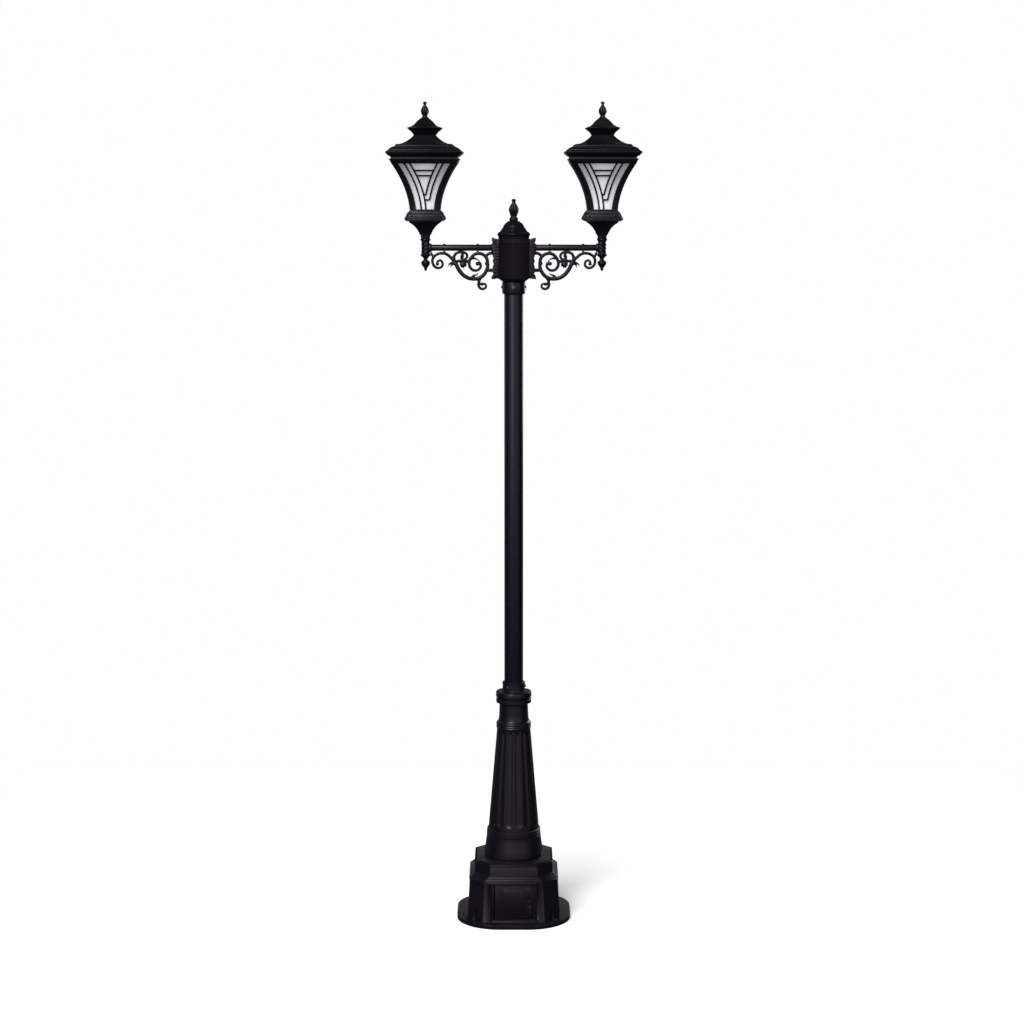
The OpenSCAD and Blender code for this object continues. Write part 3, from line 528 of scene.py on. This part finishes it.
def straightTrim(name, width, high, depth, place):
    deselectAll()
    bpy.ops.mesh.primitive_cube_add(size=1)
    piece = bpy.context.object
    piece.name = name
    piece.data.transform(Matrix.Diagonal((width, depth, high, 1)))
    soften(piece, min(depth, high) * pedestal["trimRound"], segments=3)
    moveMesh(piece, place)
    return piece


def makePedestal():
    body = fromNode("base_pedestal", "pedestal", pedestal["soft"], angle=20)
    settle(body, "post", "powder_coat", ["base_pedestal"])
    for name, outline in (("shoulder_mouldings", shoulderOutline), ("pedestal_rim", rimOutline)):
        ring = stackCutSquares(name, pedestal["cut"], inMetres(outline))
        soften(ring, 0.5 * mm)
        smoothShade(ring)
        settle(ring, "post", "powder_coat")
    low, high = (Vector(v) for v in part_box("access_door"))
    face = low.y - pedestal["face"]
    wide = high.x - low.x
    middle = centre("access_door").z
    bars = []
    for out, edge, deep in pedestal["frames"]:
        for side in (-1, 1):
            bars.append(straightTrim("bar", edge, high.z - low.z + 2 * out + edge, deep, Vector(
                (side * (wide / 2 + edge / 2 + out), face - deep / 2, middle + edge / 2))))
        bars.append(straightTrim("bar", wide + 2 * (out + edge), edge, deep,
                                 Vector((0, face - deep / 2, high.z + out + edge / 2 - pedestal["lintelDrop"]))))
    bars.append(straightTrim("bar", wide + sill["extra"], sill["high"], sill["deep"],
                             Vector((0, face - sill["deep"] / 2, low.z - sill["below"]))))
    rim = joinPieces(bars, "door_frame")
    smoothShade(rim)
    settle(rim, "post", "powder_coat")


def makeDoor():
    low, high = (Vector(v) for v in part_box("access_door"))
    slab = fromNode("access_door", "service_door", soft=0.8 * mm)
    settle(slab, "door", "powder_coat", ["access_door"])
    field = []
    for inset, thick in doorFields["steps"]:
        field.append(straightTrim(
            "field", high.x - low.x - 2 * inset, high.z - low.z - 2 * inset + doorFields["taller"], thick,
            Vector((0, low.y - thick / 2 + doorFields["sunk"], centre("access_door").z))))
    panel = joinPieces(field, "door_panel")
    smoothShade(panel)
    settle(panel, "door", "powder_coat")
    lock = fromNode("door_lock", "quarter_turn_lock", soft=0.4 * mm)
    settle(lock, "lock", "steel", ["door_lock"], finishes["powder_coat"])


makePedestal()
makeDoor()
print("pedestal and door made")


column = {"flutes": 16, "perFlute": 16, "depth": 3.9, "width": 0.35, "low": 384, "high": 773, "rows": 46,
          "crowding": 0.11, "shaftTop": (68, 777)}
columnOutline = [
    (118.5, 250), (120, 256), (119.6, 266), (117.7, 282), (114.6, 302), (112.4, 318), (111, 330), (110.4, 338),
    (108, 339.6), (108, 343.4), (110.2, 345), (109.8, 351), (107.4, 352.6), (107.4, 355.8), (109.4, 357.4),
    (108.8, 362), (106, 364.4), (103, 366), (102.4, 374)]
columnHead = [
    (69, 781), (71, 786), (69.4, 789.5), (71.2, 794), (69.6, 797.5), (71, 802), (69, 807), (64, 811),
    (60.5, 823), (58.8, 850), (58, 878), (58.4, 884), (60, 886.4), (69.5, 887.6), (71.4, 889.6), (71.4, 902.6),
    (69.6, 904.4), (62, 905), (62, 910.2), (70.4, 911), (72.3, 913), (72.3, 931), (70.3, 933.4), (62, 935),
    (46.5, 936), (45.5, 938), (45.5, 965), (46.4, 966), (46.4, 970.5), (43.5, 973), (38.3, 973), (38.3, 800)]
columnInside = [(60, 780), (88, 380), (96, 262), (76, 262), (76, 250)]


def makeColumn():
    low, high = columnOutline[-1], column["shaftTop"]
    shaft = []
    for row in range(1, column["rows"]):
        t = row / column["rows"]
        t -= column["crowding"] * math.sin(2 * math.pi * t)
        shaft.append((low[0] + (high[0] - low[0]) * t, low[1] + (high[1] - low[1]) * t))
    outline = easeOutline(columnOutline) + shaft + easeOutline([high] + columnHead, steps=2)
    outline += columnInside
    segments = column["flutes"] * column["perFlute"]
    piece = stackRings("fluted_column", segments, inMetres(outline), closed=True)
    # Flutes: round-bottomed grooves whose ends close in a half circle
    pitch = 2 * math.pi / column["flutes"]
    for vertex in piece.data.vertices:
        z = vertex.co.z / mm
        radius = vertex.co.xy.length / mm
        t = (z - low[1]) / (high[1] - low[1])
        surface = low[0] + (high[0] - low[0]) * t
        if not (0 < t < 1 and abs(radius - surface) < 0.5):
            continue
        halfWidth = column["width"] * pitch * surface
        fromEnd = min(z - column["low"], column["high"] - z) / halfWidth
        if fromEnd <= 0:
            continue
        span = math.sqrt(max(0, 1 - (1 - min(fromEnd, 1)) ** 2))
        angle = math.atan2(vertex.co.y, vertex.co.x)
        off = abs((angle / pitch) % 1 - 0.5) * pitch * surface / (halfWidth * span + 1e-9)
        if off < 1:
            sink = column["depth"] * math.sqrt(1 - off * off) * span
            vertex.co.xy *= 1 - sink / radius
    smoothShade(piece, angle=40)
    settle(piece, "post", "powder_coat", ["base_column"])


makeColumn()
for node, name, body in (("column_set_screws", "column_grub_screws", "post"),
                         ("head_set_screws", "head_grub_screws", "head")):
    settle(fromNode(node, name, soft=0.4 * mm), body, "steel", [node], blackened)
print("column made")


headCapOutline = [
    (60.8, 0), (61.5, 10), (65, 16.4), (65, 17.6), (63.5, 21.5), (59, 25), (53, 29), (50.5, 33),
    (48.5, 37), (45, 41), (42, 45), (41, 49), (39, 53), (36, 57), (31.5, 61), (26.5, 65), (22, 69)]
headCapInside = [(5.5, 69), (5.5, 58), (23, 58), (29, 52), (39, 36), (52, 20), (52, 0)]
headFinialOutline = [
    (6, 0), (16, 0), (17.5, 4), (18, 7), (17.6, 11), (14.4, 13), (12.4, 16), (12.6, 19), (14.3, 23),
    (17.6, 34), (19.8, 41), (19.7, 47), (17.6, 54), (12.5, 63), (8.6, 70), (7, 74), (7.4, 77), (8.9, 80),
    (9, 82.5), (7, 85.4), (3, 87), (0, 87)]
socketOutline = [
    (42.5, 0), (45.3, 2.6), (46.5, 8), (46.5, 44), (45.6, 45), (45.6, 46.2), (46.5, 47), (46.5, 48),
    (20, 48), (20, 43.3), (38.06, 43.3), (38.06, 0)]
# The casing's outline, as distances out from its flat sides, and heights above its floor or from its lid
casingFoot = [(-17, 0), (-1.5, 11.8), (0, 13)]
casingLid = [(0, -15), (1.1, -14.2), (1.1, -11.8), (0, -11), (0, -6), (1.1, -5.2), (1.1, 0), (-6, 0)]
casing = {"wall": 6 * mm, "neck": 22 * mm, "slope": 13 * mm, "ridge": 1.4 * mm, "armHole": 12.75 * mm,
          "cutterLong": 0.08}
# Lobes pressed into the spires between two heights, outside a bare core
lobes = {"core": 8 * mm, "ends": 0.7, "sharp": 1.3}
headLobes = {"count": 6, "depth": 4.6 * mm, "low": 17 * mm, "high": 68 * mm}


def makeSpire(name, corners, outline, foot, lobed):
    spire = stackRings(name, corners, inMetres(easeOutline(outline), dz=foot / mm))
    low, high = foot + lobed["low"], foot + lobed["high"]
    for vertex in spire.data.vertices:
        t = (vertex.co.z - low) / (high - low)
        if 0 < t < 1 and vertex.co.xy.length > lobes["core"]:
            angle = math.atan2(vertex.co.y, vertex.co.x)
            valley = (1 - abs(math.cos(lobed["count"] * angle / 2))) ** lobes["sharp"]
            sink = lobed["depth"] * math.sin(math.pi * t) ** lobes["ends"] * valley
            vertex.co.xy *= 1 - sink / vertex.co.xy.length
    edit(spire, "DESELECT")
    bpy.ops.mesh.select_non_manifold()
    bpy.ops.mesh.fill()
    bpy.ops.object.mode_set(mode="OBJECT")
    return spire


def makeHead():
    floorZ, lidZ = bottom("head_box"), top("head_box")
    wide = (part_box("head_box")[1][0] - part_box("head_box")[0][0]) / 2
    neck, slope = casing["neck"], floorZ + casing["slope"]
    rings = [(wide + out * mm, floorZ + up * mm) for out, up in casingFoot]
    rings += [(wide + out * mm, lidZ + up * mm) for out, up in casingLid]
    rings += [(wide - casing["wall"], slope), (neck, slope), (neck, floorZ)]
    shell = stackRings("head_casing", 6, rings, closed=True)
    bevelRidges(shell, casing["ridge"], segments=3)
    for side in (-1, 1):
        deselectAll()
        bpy.ops.mesh.primitive_cylinder_add(vertices=48, radius=casing["armHole"], depth=casing["cutterLong"])
        cutter = bpy.context.object
        cutter.data.transform(Matrix.Translation((side * wide, 0, armZ)) @ Matrix.Rotation(math.pi / 2, 4, "Y"))
        modifier(shell, "BOOLEAN", operation="DIFFERENCE", object=cutter, solver="EXACT")
        bpy.data.objects.remove(cutter)
    soften(shell, 0.5 * mm)
    smoothShade(shell)
    settle(shell, "head", "powder_coat", ["head_box"])

    capZ = bottom("head_cap")
    cap = stackRings("head_lid", 6, inMetres(
        easeOutline(headCapOutline, steps=2, corner=25) + headCapInside, dz=capZ / mm), closed=True)
    bevelRidges(cap, 1.2 * mm)
    soften(cap, 0.5 * mm, angle=40)
    smoothShade(cap, angle=30)
    settle(cap, "cap", "powder_coat", ["head_cap"])

    knob = makeSpire("head_spire", 96, headFinialOutline, bottom("head_finial"), headLobes)
    smoothShade(knob, angle=40)
    settle(knob, "cap_nut", "powder_coat", ["head_finial"])

    socketZ = bottom("head_socket")
    socket = stackRings("pole_socket", 96, inMetres(socketOutline, dz=socketZ / mm), closed=True)
    soften(socket, 0.35 * mm)
    smoothShade(socket, angle=40)
    settle(socket, "head", "powder_coat", ["head_socket"])


makeHead()
print("head made")


# Routes of the scroll's strands: distance from the pole's axis and height from the arm's axis, with
# the width at each end
strands = [
    ([(230, -64), (214, -93), (192, -114), (163, -123), (134, -118), (110, -93), (104, -61), (113, -34),
      (145, -23), (168, -38), (177, -62), (168, -84), (152, -90), (136, -83), (131, -70), (136, -60),
      (145, -62)], 15.5, 9),
    ([(226, -70), (236, -50), (235, -30), (224, -20), (208, -18), (192, -21), (185, -31), (189, -42),
      (201, -46), (208, -40), (206, -32)], 11.5, 8.5),
    ([(226, -66), (240, -49), (253, -36), (266, -26), (285, -22), (306, -27), (321, -42), (322, -60),
      (312, -76), (298, -80), (285, -73), (283, -60), (292, -50), (302, -54), (305, -63)], 12, 8.5),
    ([(318, -44), (321, -34), (326, -26), (329, -18)], 10, 9),
    ([(232, -54), (212, -52), (192, -50), (177, -60)], 11, 10),
    ([(200, -52), (203, -60), (201, -72), (197, -84)], 10, 3),
    ([(207, -54), (211, -64), (206, -80)], 11, 3),
    ([(200, -56), (190, -64), (190, -76)], 8, 3),
    ([(232, -60), (246, -60), (255, -64), (261, -73)], 13, 3),
    ([(238, -62), (248, -70), (250, -79)], 9, 2.5),
    ([(131, -116), (139, -136), (137, -156), (123, -163), (111, -155), (114, -144), (126, -143)], 12, 7.5),
    ([(172, -44), (156, -42), (145, -46), (135, -55)], 10, 3),
    ([(166, -116), (156, -109), (147, -107), (141, -98)], 10, 3),
    ([(114, -36), (104, -27), (94, -22), (84, -22)], 11, 12),
    ([(108, -89), (96, -89), (84, -89)], 11, 14)]
# Knobs where the strands meet: the same two distances and the radius
scrollKnobs = [(144, -63, 8.4), (204, -32, 7.8), (303, -64, 7.2), (126, -144, 7.2), (201, -68, 10), (208, -67, 7),
               (230, -64, 9), (133, -118, 8.5), (108, -62, 7.5)]
scroll = {"flat": 0.72, "voxel": 1.35 * mm, "stout": 1.12}
# Posts between the scroll and the arm above it
scrollPosts = {"at": (143, 275.5), "foot": -26, "top": -12.8, "radius": 4.6 * mm}


def strand(points, wide, thin):
    last = len(points) - 1
    shares = [scroll["stout"] * (wide + (thin - wide) * i / last) / 2 for i in range(last + 1)]
    return softTube("strand", [(x, 0, z) for x, z in points], shares, 1, 4, 6)


def makeScroll():
    parts = [strand(*row) for row in strands]
    for x, z, r in scrollKnobs:
        deselectAll()
        bpy.ops.mesh.primitive_uv_sphere_add(segments=24, ring_count=14, radius=r * mm,
                                             location=(x * mm, 0, z * mm))
        bpy.ops.object.transform_apply(location=True)
        parts.append(bpy.context.object)
    foot, head = scrollPosts["foot"], scrollPosts["top"]
    for x in scrollPosts["at"]:
        deselectAll()
        bpy.ops.mesh.primitive_cylinder_add(vertices=24, radius=scrollPosts["radius"], depth=(head - foot) * mm,
                                            location=(x * mm, 0, (foot + head) / 2 * mm))
        bpy.ops.object.transform_apply(location=True)
        parts.append(bpy.context.object)
    iron = joinPieces(parts, "scroll_bracket_right")
    iron.data.transform(Matrix.Diagonal((1, scroll["flat"], 1, 1)))
    modifier(iron, "REMESH", mode="VOXEL", voxel_size=scroll["voxel"], use_smooth_shade=True)
    modifier(iron, "SMOOTH", factor=0.5, iterations=2)
    moveMesh(iron, (0, 0, armZ))
    takeUp(iron)
    bpy.ops.object.shade_smooth()
    twin = copyPiece(iron, "scroll_bracket_left", Matrix.Diagonal((-1, 1, 1, 1)))
    settle(iron, "head", "powder_coat", ["scroll_right"])
    settle(twin, "head", "powder_coat", ["scroll_left"])


stemOutline = [
    (7, -41), (9.5, -41), (11.6, -38), (14.6, -35), (18.6, -32.4), (21, -30.4), (21.3, -28.6), (20, -27),
    (17.4, -25.6), (16, -24), (16, 25), (17.4, 27), (20, 29.4), (21, 31.6), (20.6, 34), (18, 36.6),
    (17, 37.8), (10, 38), (10, 118), (7, 118)]
dropOutline = [
    (0, -28), (3.9, -28), (3.9, -41.3), (9.4, -41.3), (8.2, -43), (7.6, -45), (8.8, -48.5),
    (13.4, -52), (16.5, -55), (18, -59), (17, -64), (14, -70), (9.4, -76), (6.4, -80), (6.6, -83),
    (5, -88), (2, -91.6), (0, -92)]
# The rope-twisted stretch of the stem, between two heights
stemTwist = {"low": -24, "high": 25, "radius": 16.9, "rows": 40, "strands": 4, "depth": 3.6 * mm, "turns": 0.85,
             "core": 14.5 * mm, "fade": 10, "sharp": 1.3}
# Rings round the arm: a hub at the stem and a collar on the plate
hubOutline = [(12.8, 13), (15.5, 13), (17.5, 16), (17.5, 21), (15.5, 24), (12.8, 24)]
collarOutline = [(12.8, 0), (17, 0), (16.4, 3), (14, 5.5), (12.8, 6)]
collarAt = 84.2 * mm
plateRibs = {"count": 9, "start": 33 * mm, "pitch": 12 * mm, "high": 6.5 * mm, "out": 21.5 * mm,
             "proud": 2.6 * mm}
# Curls on the arm plates' faces: distance out from the head, height from the plate's foot, then widths
plateCurls = [([(3, 22), (10, 21), (18, 17), (22, 10), (18, 5), (13, 8), (15, 12)], 6.5, 4),
              ([(3, 138), (10, 139), (18, 143), (22, 150), (18, 155), (13, 152), (15, 148)], 6.5, 4)]


def twistRope(piece):
    low, high = stemTwist["low"] * mm, stemTwist["high"] * mm
    for vertex in piece.data.vertices:
        t = (vertex.co.z - low) / (high - low)
        if 0 <= t <= 1 and vertex.co.xy.length > stemTwist["core"]:
            angle = math.atan2(vertex.co.y, vertex.co.x) + stemTwist["turns"] * 2 * math.pi * t
            ends = min(1, stemTwist["fade"] * t, stemTwist["fade"] * (1 - t))
            groove = (1 - abs(math.sin(stemTwist["strands"] * angle / 2))) ** stemTwist["sharp"]
            vertex.co.xy *= 1 - stemTwist["depth"] * ends * groove / vertex.co.xy.length


def makeArms():
    for name, side in sides.items():
        tube = fromNode("arm_tube_" + name, "arm_" + name, soft=0.2 * mm, shade=40)
        settle(tube, "head", "powder_coat", ["arm_tube_" + name])
        plate = fromNode("bracket_plate_" + name, "arm_plate_" + name, soft=2.2 * mm, segments=3)
        settle(plate, "head", "powder_coat", ["bracket_plate_" + name])
        low, high = (Vector(v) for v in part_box("bracket_plate_" + name))
        near = high.x if side < 0 else low.x
        deep = high.y - low.y + 2 * plateRibs["proud"]
        ribs = []
        for i in range(plateRibs["count"]):
            z = low.z + plateRibs["start"] + i * plateRibs["pitch"]
            ribs.append(straightTrim("rib", plateRibs["out"], plateRibs["high"], deep,
                                     Vector((near + side * plateRibs["out"] / 2, 0, z))))
        for points, wide, thin in plateCurls:
            for y in (low.y, high.y):
                curl = strand([(near / mm + side * x, z) for x, z in points], wide, thin)
                moveMesh(curl, (0, y, low.z))
                ribs.append(curl)
        ribbing = joinPieces(ribs, "arm_plate_ribs_" + name)
        smoothShade(ribbing)
        settle(ribbing, "head", "powder_coat")
    at = [z for r, z in stemOutline].index(stemTwist["high"])
    span = stemTwist["high"] - stemTwist["low"]
    twist = [(stemTwist["radius"], stemTwist["low"] + span * i / stemTwist["rows"])
             for i in range(1, stemTwist["rows"])]
    stem = stackRings("lantern_stem_right", 96, inMetres(stemOutline[:at] + twist + stemOutline[at:]), closed=True)
    twistRope(stem)
    hub = stackRings("hub", 48, inMetres(hubOutline), closed=True)
    hub.data.transform(Matrix.Rotation(-math.pi / 2, 4, "Y"))
    collar = stackRings("collar", 48, inMetres(collarOutline), closed=True)
    collar.data.transform(Matrix.Translation((collarAt - reach, 0, 0)) @ Matrix.Rotation(math.pi / 2, 4, "Y"))
    stem = joinPieces([stem, hub, collar], "lantern_stem_right")
    drop = stackRings("drop_spire_right", 48, inMetres(easeOutline(dropOutline, steps=2)))
    for piece, node in ((stem, "stem_"), (drop, "drop_finial_")):
        smoothShade(piece, angle=42)
        moveMesh(piece, (reach, 0, armZ))
        twin = copyPiece(piece, piece.name.replace("right", "left"), Matrix.Diagonal((-1, 1, 1, 1)))
        settle(piece, "head", "powder_coat", [node + "right"])
        settle(twin, "head", "powder_coat", [node + "left"])
    for name in sides:
        settle(fromNode("scroll_screws_" + name, "arm_screws_" + name, soft=0.8 * mm, segments=3), "head", "steel",
               ["scroll_screws_" + name], blackened)


makeScroll()
makeArms()
print("arms and scrolls made")


cupOutline = [
    (17.4, 38), (18.3, 46), (20, 53.5), (23, 61), (27, 69), (32, 77), (38.5, 85), (46.5, 93), (57.5, 100.6),
    (62.5, 102.6), (62.5, 104.4), (68, 105.2), (73.4, 106.4), (77, 108.6), (77, 111), (74.4, 112.2),
    (74.4, 114.6), (75.6, 116), (75, 119), (72.4, 120.4), (72.4, 122.6), (72.8, 124), (71.4, 128), (68, 134),
    (65.4, 138.4), (64.4, 142), (63.8, 144.6), (61.6, 145.6), (61.6, 147), (60.6, 148)]
cupInside = [(52, 148), (52, 122), (43, 112), (10.3, 112), (10.3, 38)]
roofOutline = [
    (130, 0), (130, 4.6), (132.4, 5.4), (134, 8), (139, 9.6), (145.5, 15.6), (149.6, 20.4), (151, 22.6),
    (151, 24.6), (148.4, 25.6), (143.6, 29.4), (139.6, 31.2), (138.6, 33.4), (133.6, 38.4), (126, 42.8),
    (117.6, 45.6), (114.6, 46.4), (114.6, 49), (111.6, 52.6), (106.6, 54.8), (104.4, 55.2), (103.6, 53.6),
    (98, 54.6), (85.5, 59), (71, 66), (58, 75), (49, 83), (43, 90)]
roofInside = [
    (5, 90), (5, 84), (36, 84), (38, 80), (52, 70), (67, 58), (91, 52), (111, 43), (139, 26), (139, 21),
    (117.5, 10), (117.5, 0)]
crownOutline = [
    (43, 0), (51.5, 12), (61, 20), (68, 27), (68.5, 28), (60, 31), (50, 35), (39.5, 43), (33, 51), (25, 59),
    (16, 66)]
crownInside = [(5, 66), (5, 50), (12, 50), (26, 44), (38, 34), (50, 22), (44, 12), (36, 0)]
finialOutline = [
    (4.5, 0), (16, 0), (15, 1.4), (12, 3), (9.7, 8), (10.5, 12), (13.4, 17), (15.6, 22), (16.2, 27),
    (15.2, 33), (11.4, 41), (7, 48), (5, 53), (5.6, 55.6), (7.9, 57.6), (8, 60), (6, 63), (2, 64.7), (0, 64.7)]
spireLobes = {"count": 6, "depth": 3.0 * mm, "low": 11 * mm, "high": 50 * mm}
lampFoot = [(0, 0), (4, 0), (4.6, 1.6), (9, 2.6), (12.6, 4)]
lampThread = {"steps": 28, "radius": 12.9, "depth": 0.5, "start": 5, "rise": 0.72}
lampGlass = [
    (13, 26), (14.2, 30), (16.5, 38), (21.5, 50), (27, 62), (29.7, 72), (30, 77), (28.6, 86), (23, 97),
    (14, 103.6), (6, 105.7), (0, 106)]
lantern = {"foot": 58, "belly": 8, "rise": 200, "topHalf": 137.5, "base": 148}


# Half the cage's width at a height above the arm's axis
def cageHalf(z):
    u = (z - lantern["base"]) / lantern["rise"]
    return (lantern["foot"] * (1 - u) ** 2 + 2 * (lantern["foot"] + lantern["belly"]) * u * (1 - u)
            + lantern["topHalf"] * u * u)


# Ribs that run up each corner of the cage and down the cup, as half-widths and heights, with their radius
ribRuns = [([(cageHalf(z) - 1.6, z) for z in (150, 175, 200, 225, 250, 275, 300, 325, 338)], 3.4),
           ([(60, 102), (46.5, 92.4), (38.5, 84.4), (32, 76.4), (27, 68.4), (23, 60.4), (20, 52)], 2.4)]
# The curl beside each corner of the cup: distance from the middle and height, then the widths
cupCurl = ([(74, 110), (71, 118), (67, 127), (61, 136), (53, 139), (47, 134), (48, 127), (54, 125), (57, 130)],
           7.5, 4)
cupSlope = {"lean": 24, "z": 129, "half": 69.5}


def makeCornerRibs():
    ribs = []
    for points, radius in ribRuns:
        ribs.append(softTube("rib", [(half, half, z) for half, z in points], [1] * len(points), radius, 3, 10))
    for side in (-1, 1):
        path, wide, thin = cupCurl
        curl = strand([(side * x, z - cupSlope["z"]) for x, z in path], wide, thin)
        curl.data.transform(Matrix.Translation((0, -cupSlope["half"] * mm, cupSlope["z"] * mm))
                            @ Matrix.Rotation(math.radians(-cupSlope["lean"]), 4, "X"))
        ribs.append(curl)
    corner = joinPieces(ribs, "cage_ribs_right")
    turned = [copyPiece(corner, "rib", Matrix.Rotation(i * math.pi / 2, 4, "Z")) for i in (1, 2, 3)]
    return joinPieces([corner] + turned, "cage_ribs_right")


def makeLamp():
    thread = []
    for i in range(lampThread["steps"]):
        thread.append((lampThread["radius"] + lampThread["depth"] * math.sin(i * math.pi / 2),
                       lampThread["start"] + i * lampThread["rise"]))
    return stackRings("lamp_bulb_right", 64, inMetres(lampFoot + thread + easeOutline(lampGlass, steps=2)))


def makeLanterns():
    cup = stackRings("lantern_cup_right", 4, inMetres(
        easeOutline(cupOutline, steps=2, corner=28) + cupInside), closed=True)
    bevelRidges(cup, 4.5 * mm, segments=4)
    soften(cup, 0.6 * mm)
    roofZ = bottom("roof_right") - armZ
    roof = stackRings("lantern_roof_right", 4, inMetres(
        easeOutline(roofOutline, corner=28) + roofInside, dz=roofZ / mm), closed=True)
    bevelRidges(roof, 1.8 * mm, segments=3)
    soften(roof, 0.6 * mm, angle=40)
    crownZ = bottom("crown_right") - armZ
    crown = stackRings("lantern_crown_right", 4, inMetres(
        easeOutline(crownOutline, corner=28) + crownInside, dz=crownZ / mm), closed=True)
    bevelRidges(crown, 1.4 * mm, segments=3)
    soften(crown, 0.5 * mm, angle=40)
    finial = makeSpire("lantern_spire_right", 64, finialOutline, bottom("finial_right") - armZ, spireLobes)
    ribs = makeCornerRibs()
    lamp = makeLamp()
    lamp.data.transform(Matrix.Translation((0, 0, bottom("lamp_right") - armZ)))
    rows = [
        (cup, "head", "powder_coat", "cup_", 36), (roof, "roof_", "powder_coat", "roof_", 30),
        (crown, "roof_", "powder_coat", "crown_", 30), (finial, "roof_nut_", "powder_coat", "finial_", 40),
        (ribs, "head", "powder_coat", None, 40), (lamp, "lamp_", "frosted_glass", "lamp_", 40)]
    for piece, body, slot, node, shade in rows:
        smoothShade(piece, angle=shade)
        twin = copyPiece(piece, piece.name.replace("right", "left"), Matrix.Translation((-reach, 0, armZ)))
        moveMesh(piece, (reach, 0, armZ))
        for each, name in ((piece, "right"), (twin, "left")):
            own = body + name if body.endswith("_") else body
            settle(each, own, slot, [node + name] if node else ())
    for name in sides:
        cage = fromNode("cage_" + name, "lantern_cage_" + name, soft=0.7 * mm, angle=25, shade=30)
        settle(cage, "head", "powder_coat", ["cage_" + name])
        panes = fromNode("glass_panes_" + name, "frosted_panes_" + name, soft=0.3 * mm, angle=40, shade=30)
        settle(panes, "head", "frosted_glass", ["glass_panes_" + name])


makeLanterns()
print("lanterns made")


# Inner and small pieces that keep the frame's shape: node, body, slot and edge softening in mm
others = [
    ("pole_tube", "post", "powder_coat", 0.4), ("column_bolts", "post", "steel", 0.5),
    ("door_hinge_pins", "post", "steel", 0.3), ("cutout_bracket", "post", "steel", 0.5),
    ("fuse_cutout", "post", "plastic", 2.0), ("earth_stud", "post", "brass", 0.5),
    ("pole_cable", "post", "cable_black", 0), ("cap_stud", "head", "steel", 0.5),
    ("junction_block", "head", "plastic", 1.2), ("cap_gasket", "head", "gasket_rubber", 0.4)]
for name in sides:
    others += [
        ("arm_lead_" + name, "head", "cable_black", 0), ("roof_gasket_" + name, "head", "gasket_rubber", 0.6),
        ("roof_bridge_" + name, "head", "steel", 0.6), ("lamp_holder_" + name, "head", "ceramic_holder", 1.0)]


def makeOthers():
    for node, body, slot, soft in others:
        piece = fromNode(node, "made_" + node, soft=soft * mm, shade=38 if soft else 50)
        settle(piece, body, slot, [node], blackened if node == "door_hinge_pins" else None)


makeOthers()
print("inner pieces made")
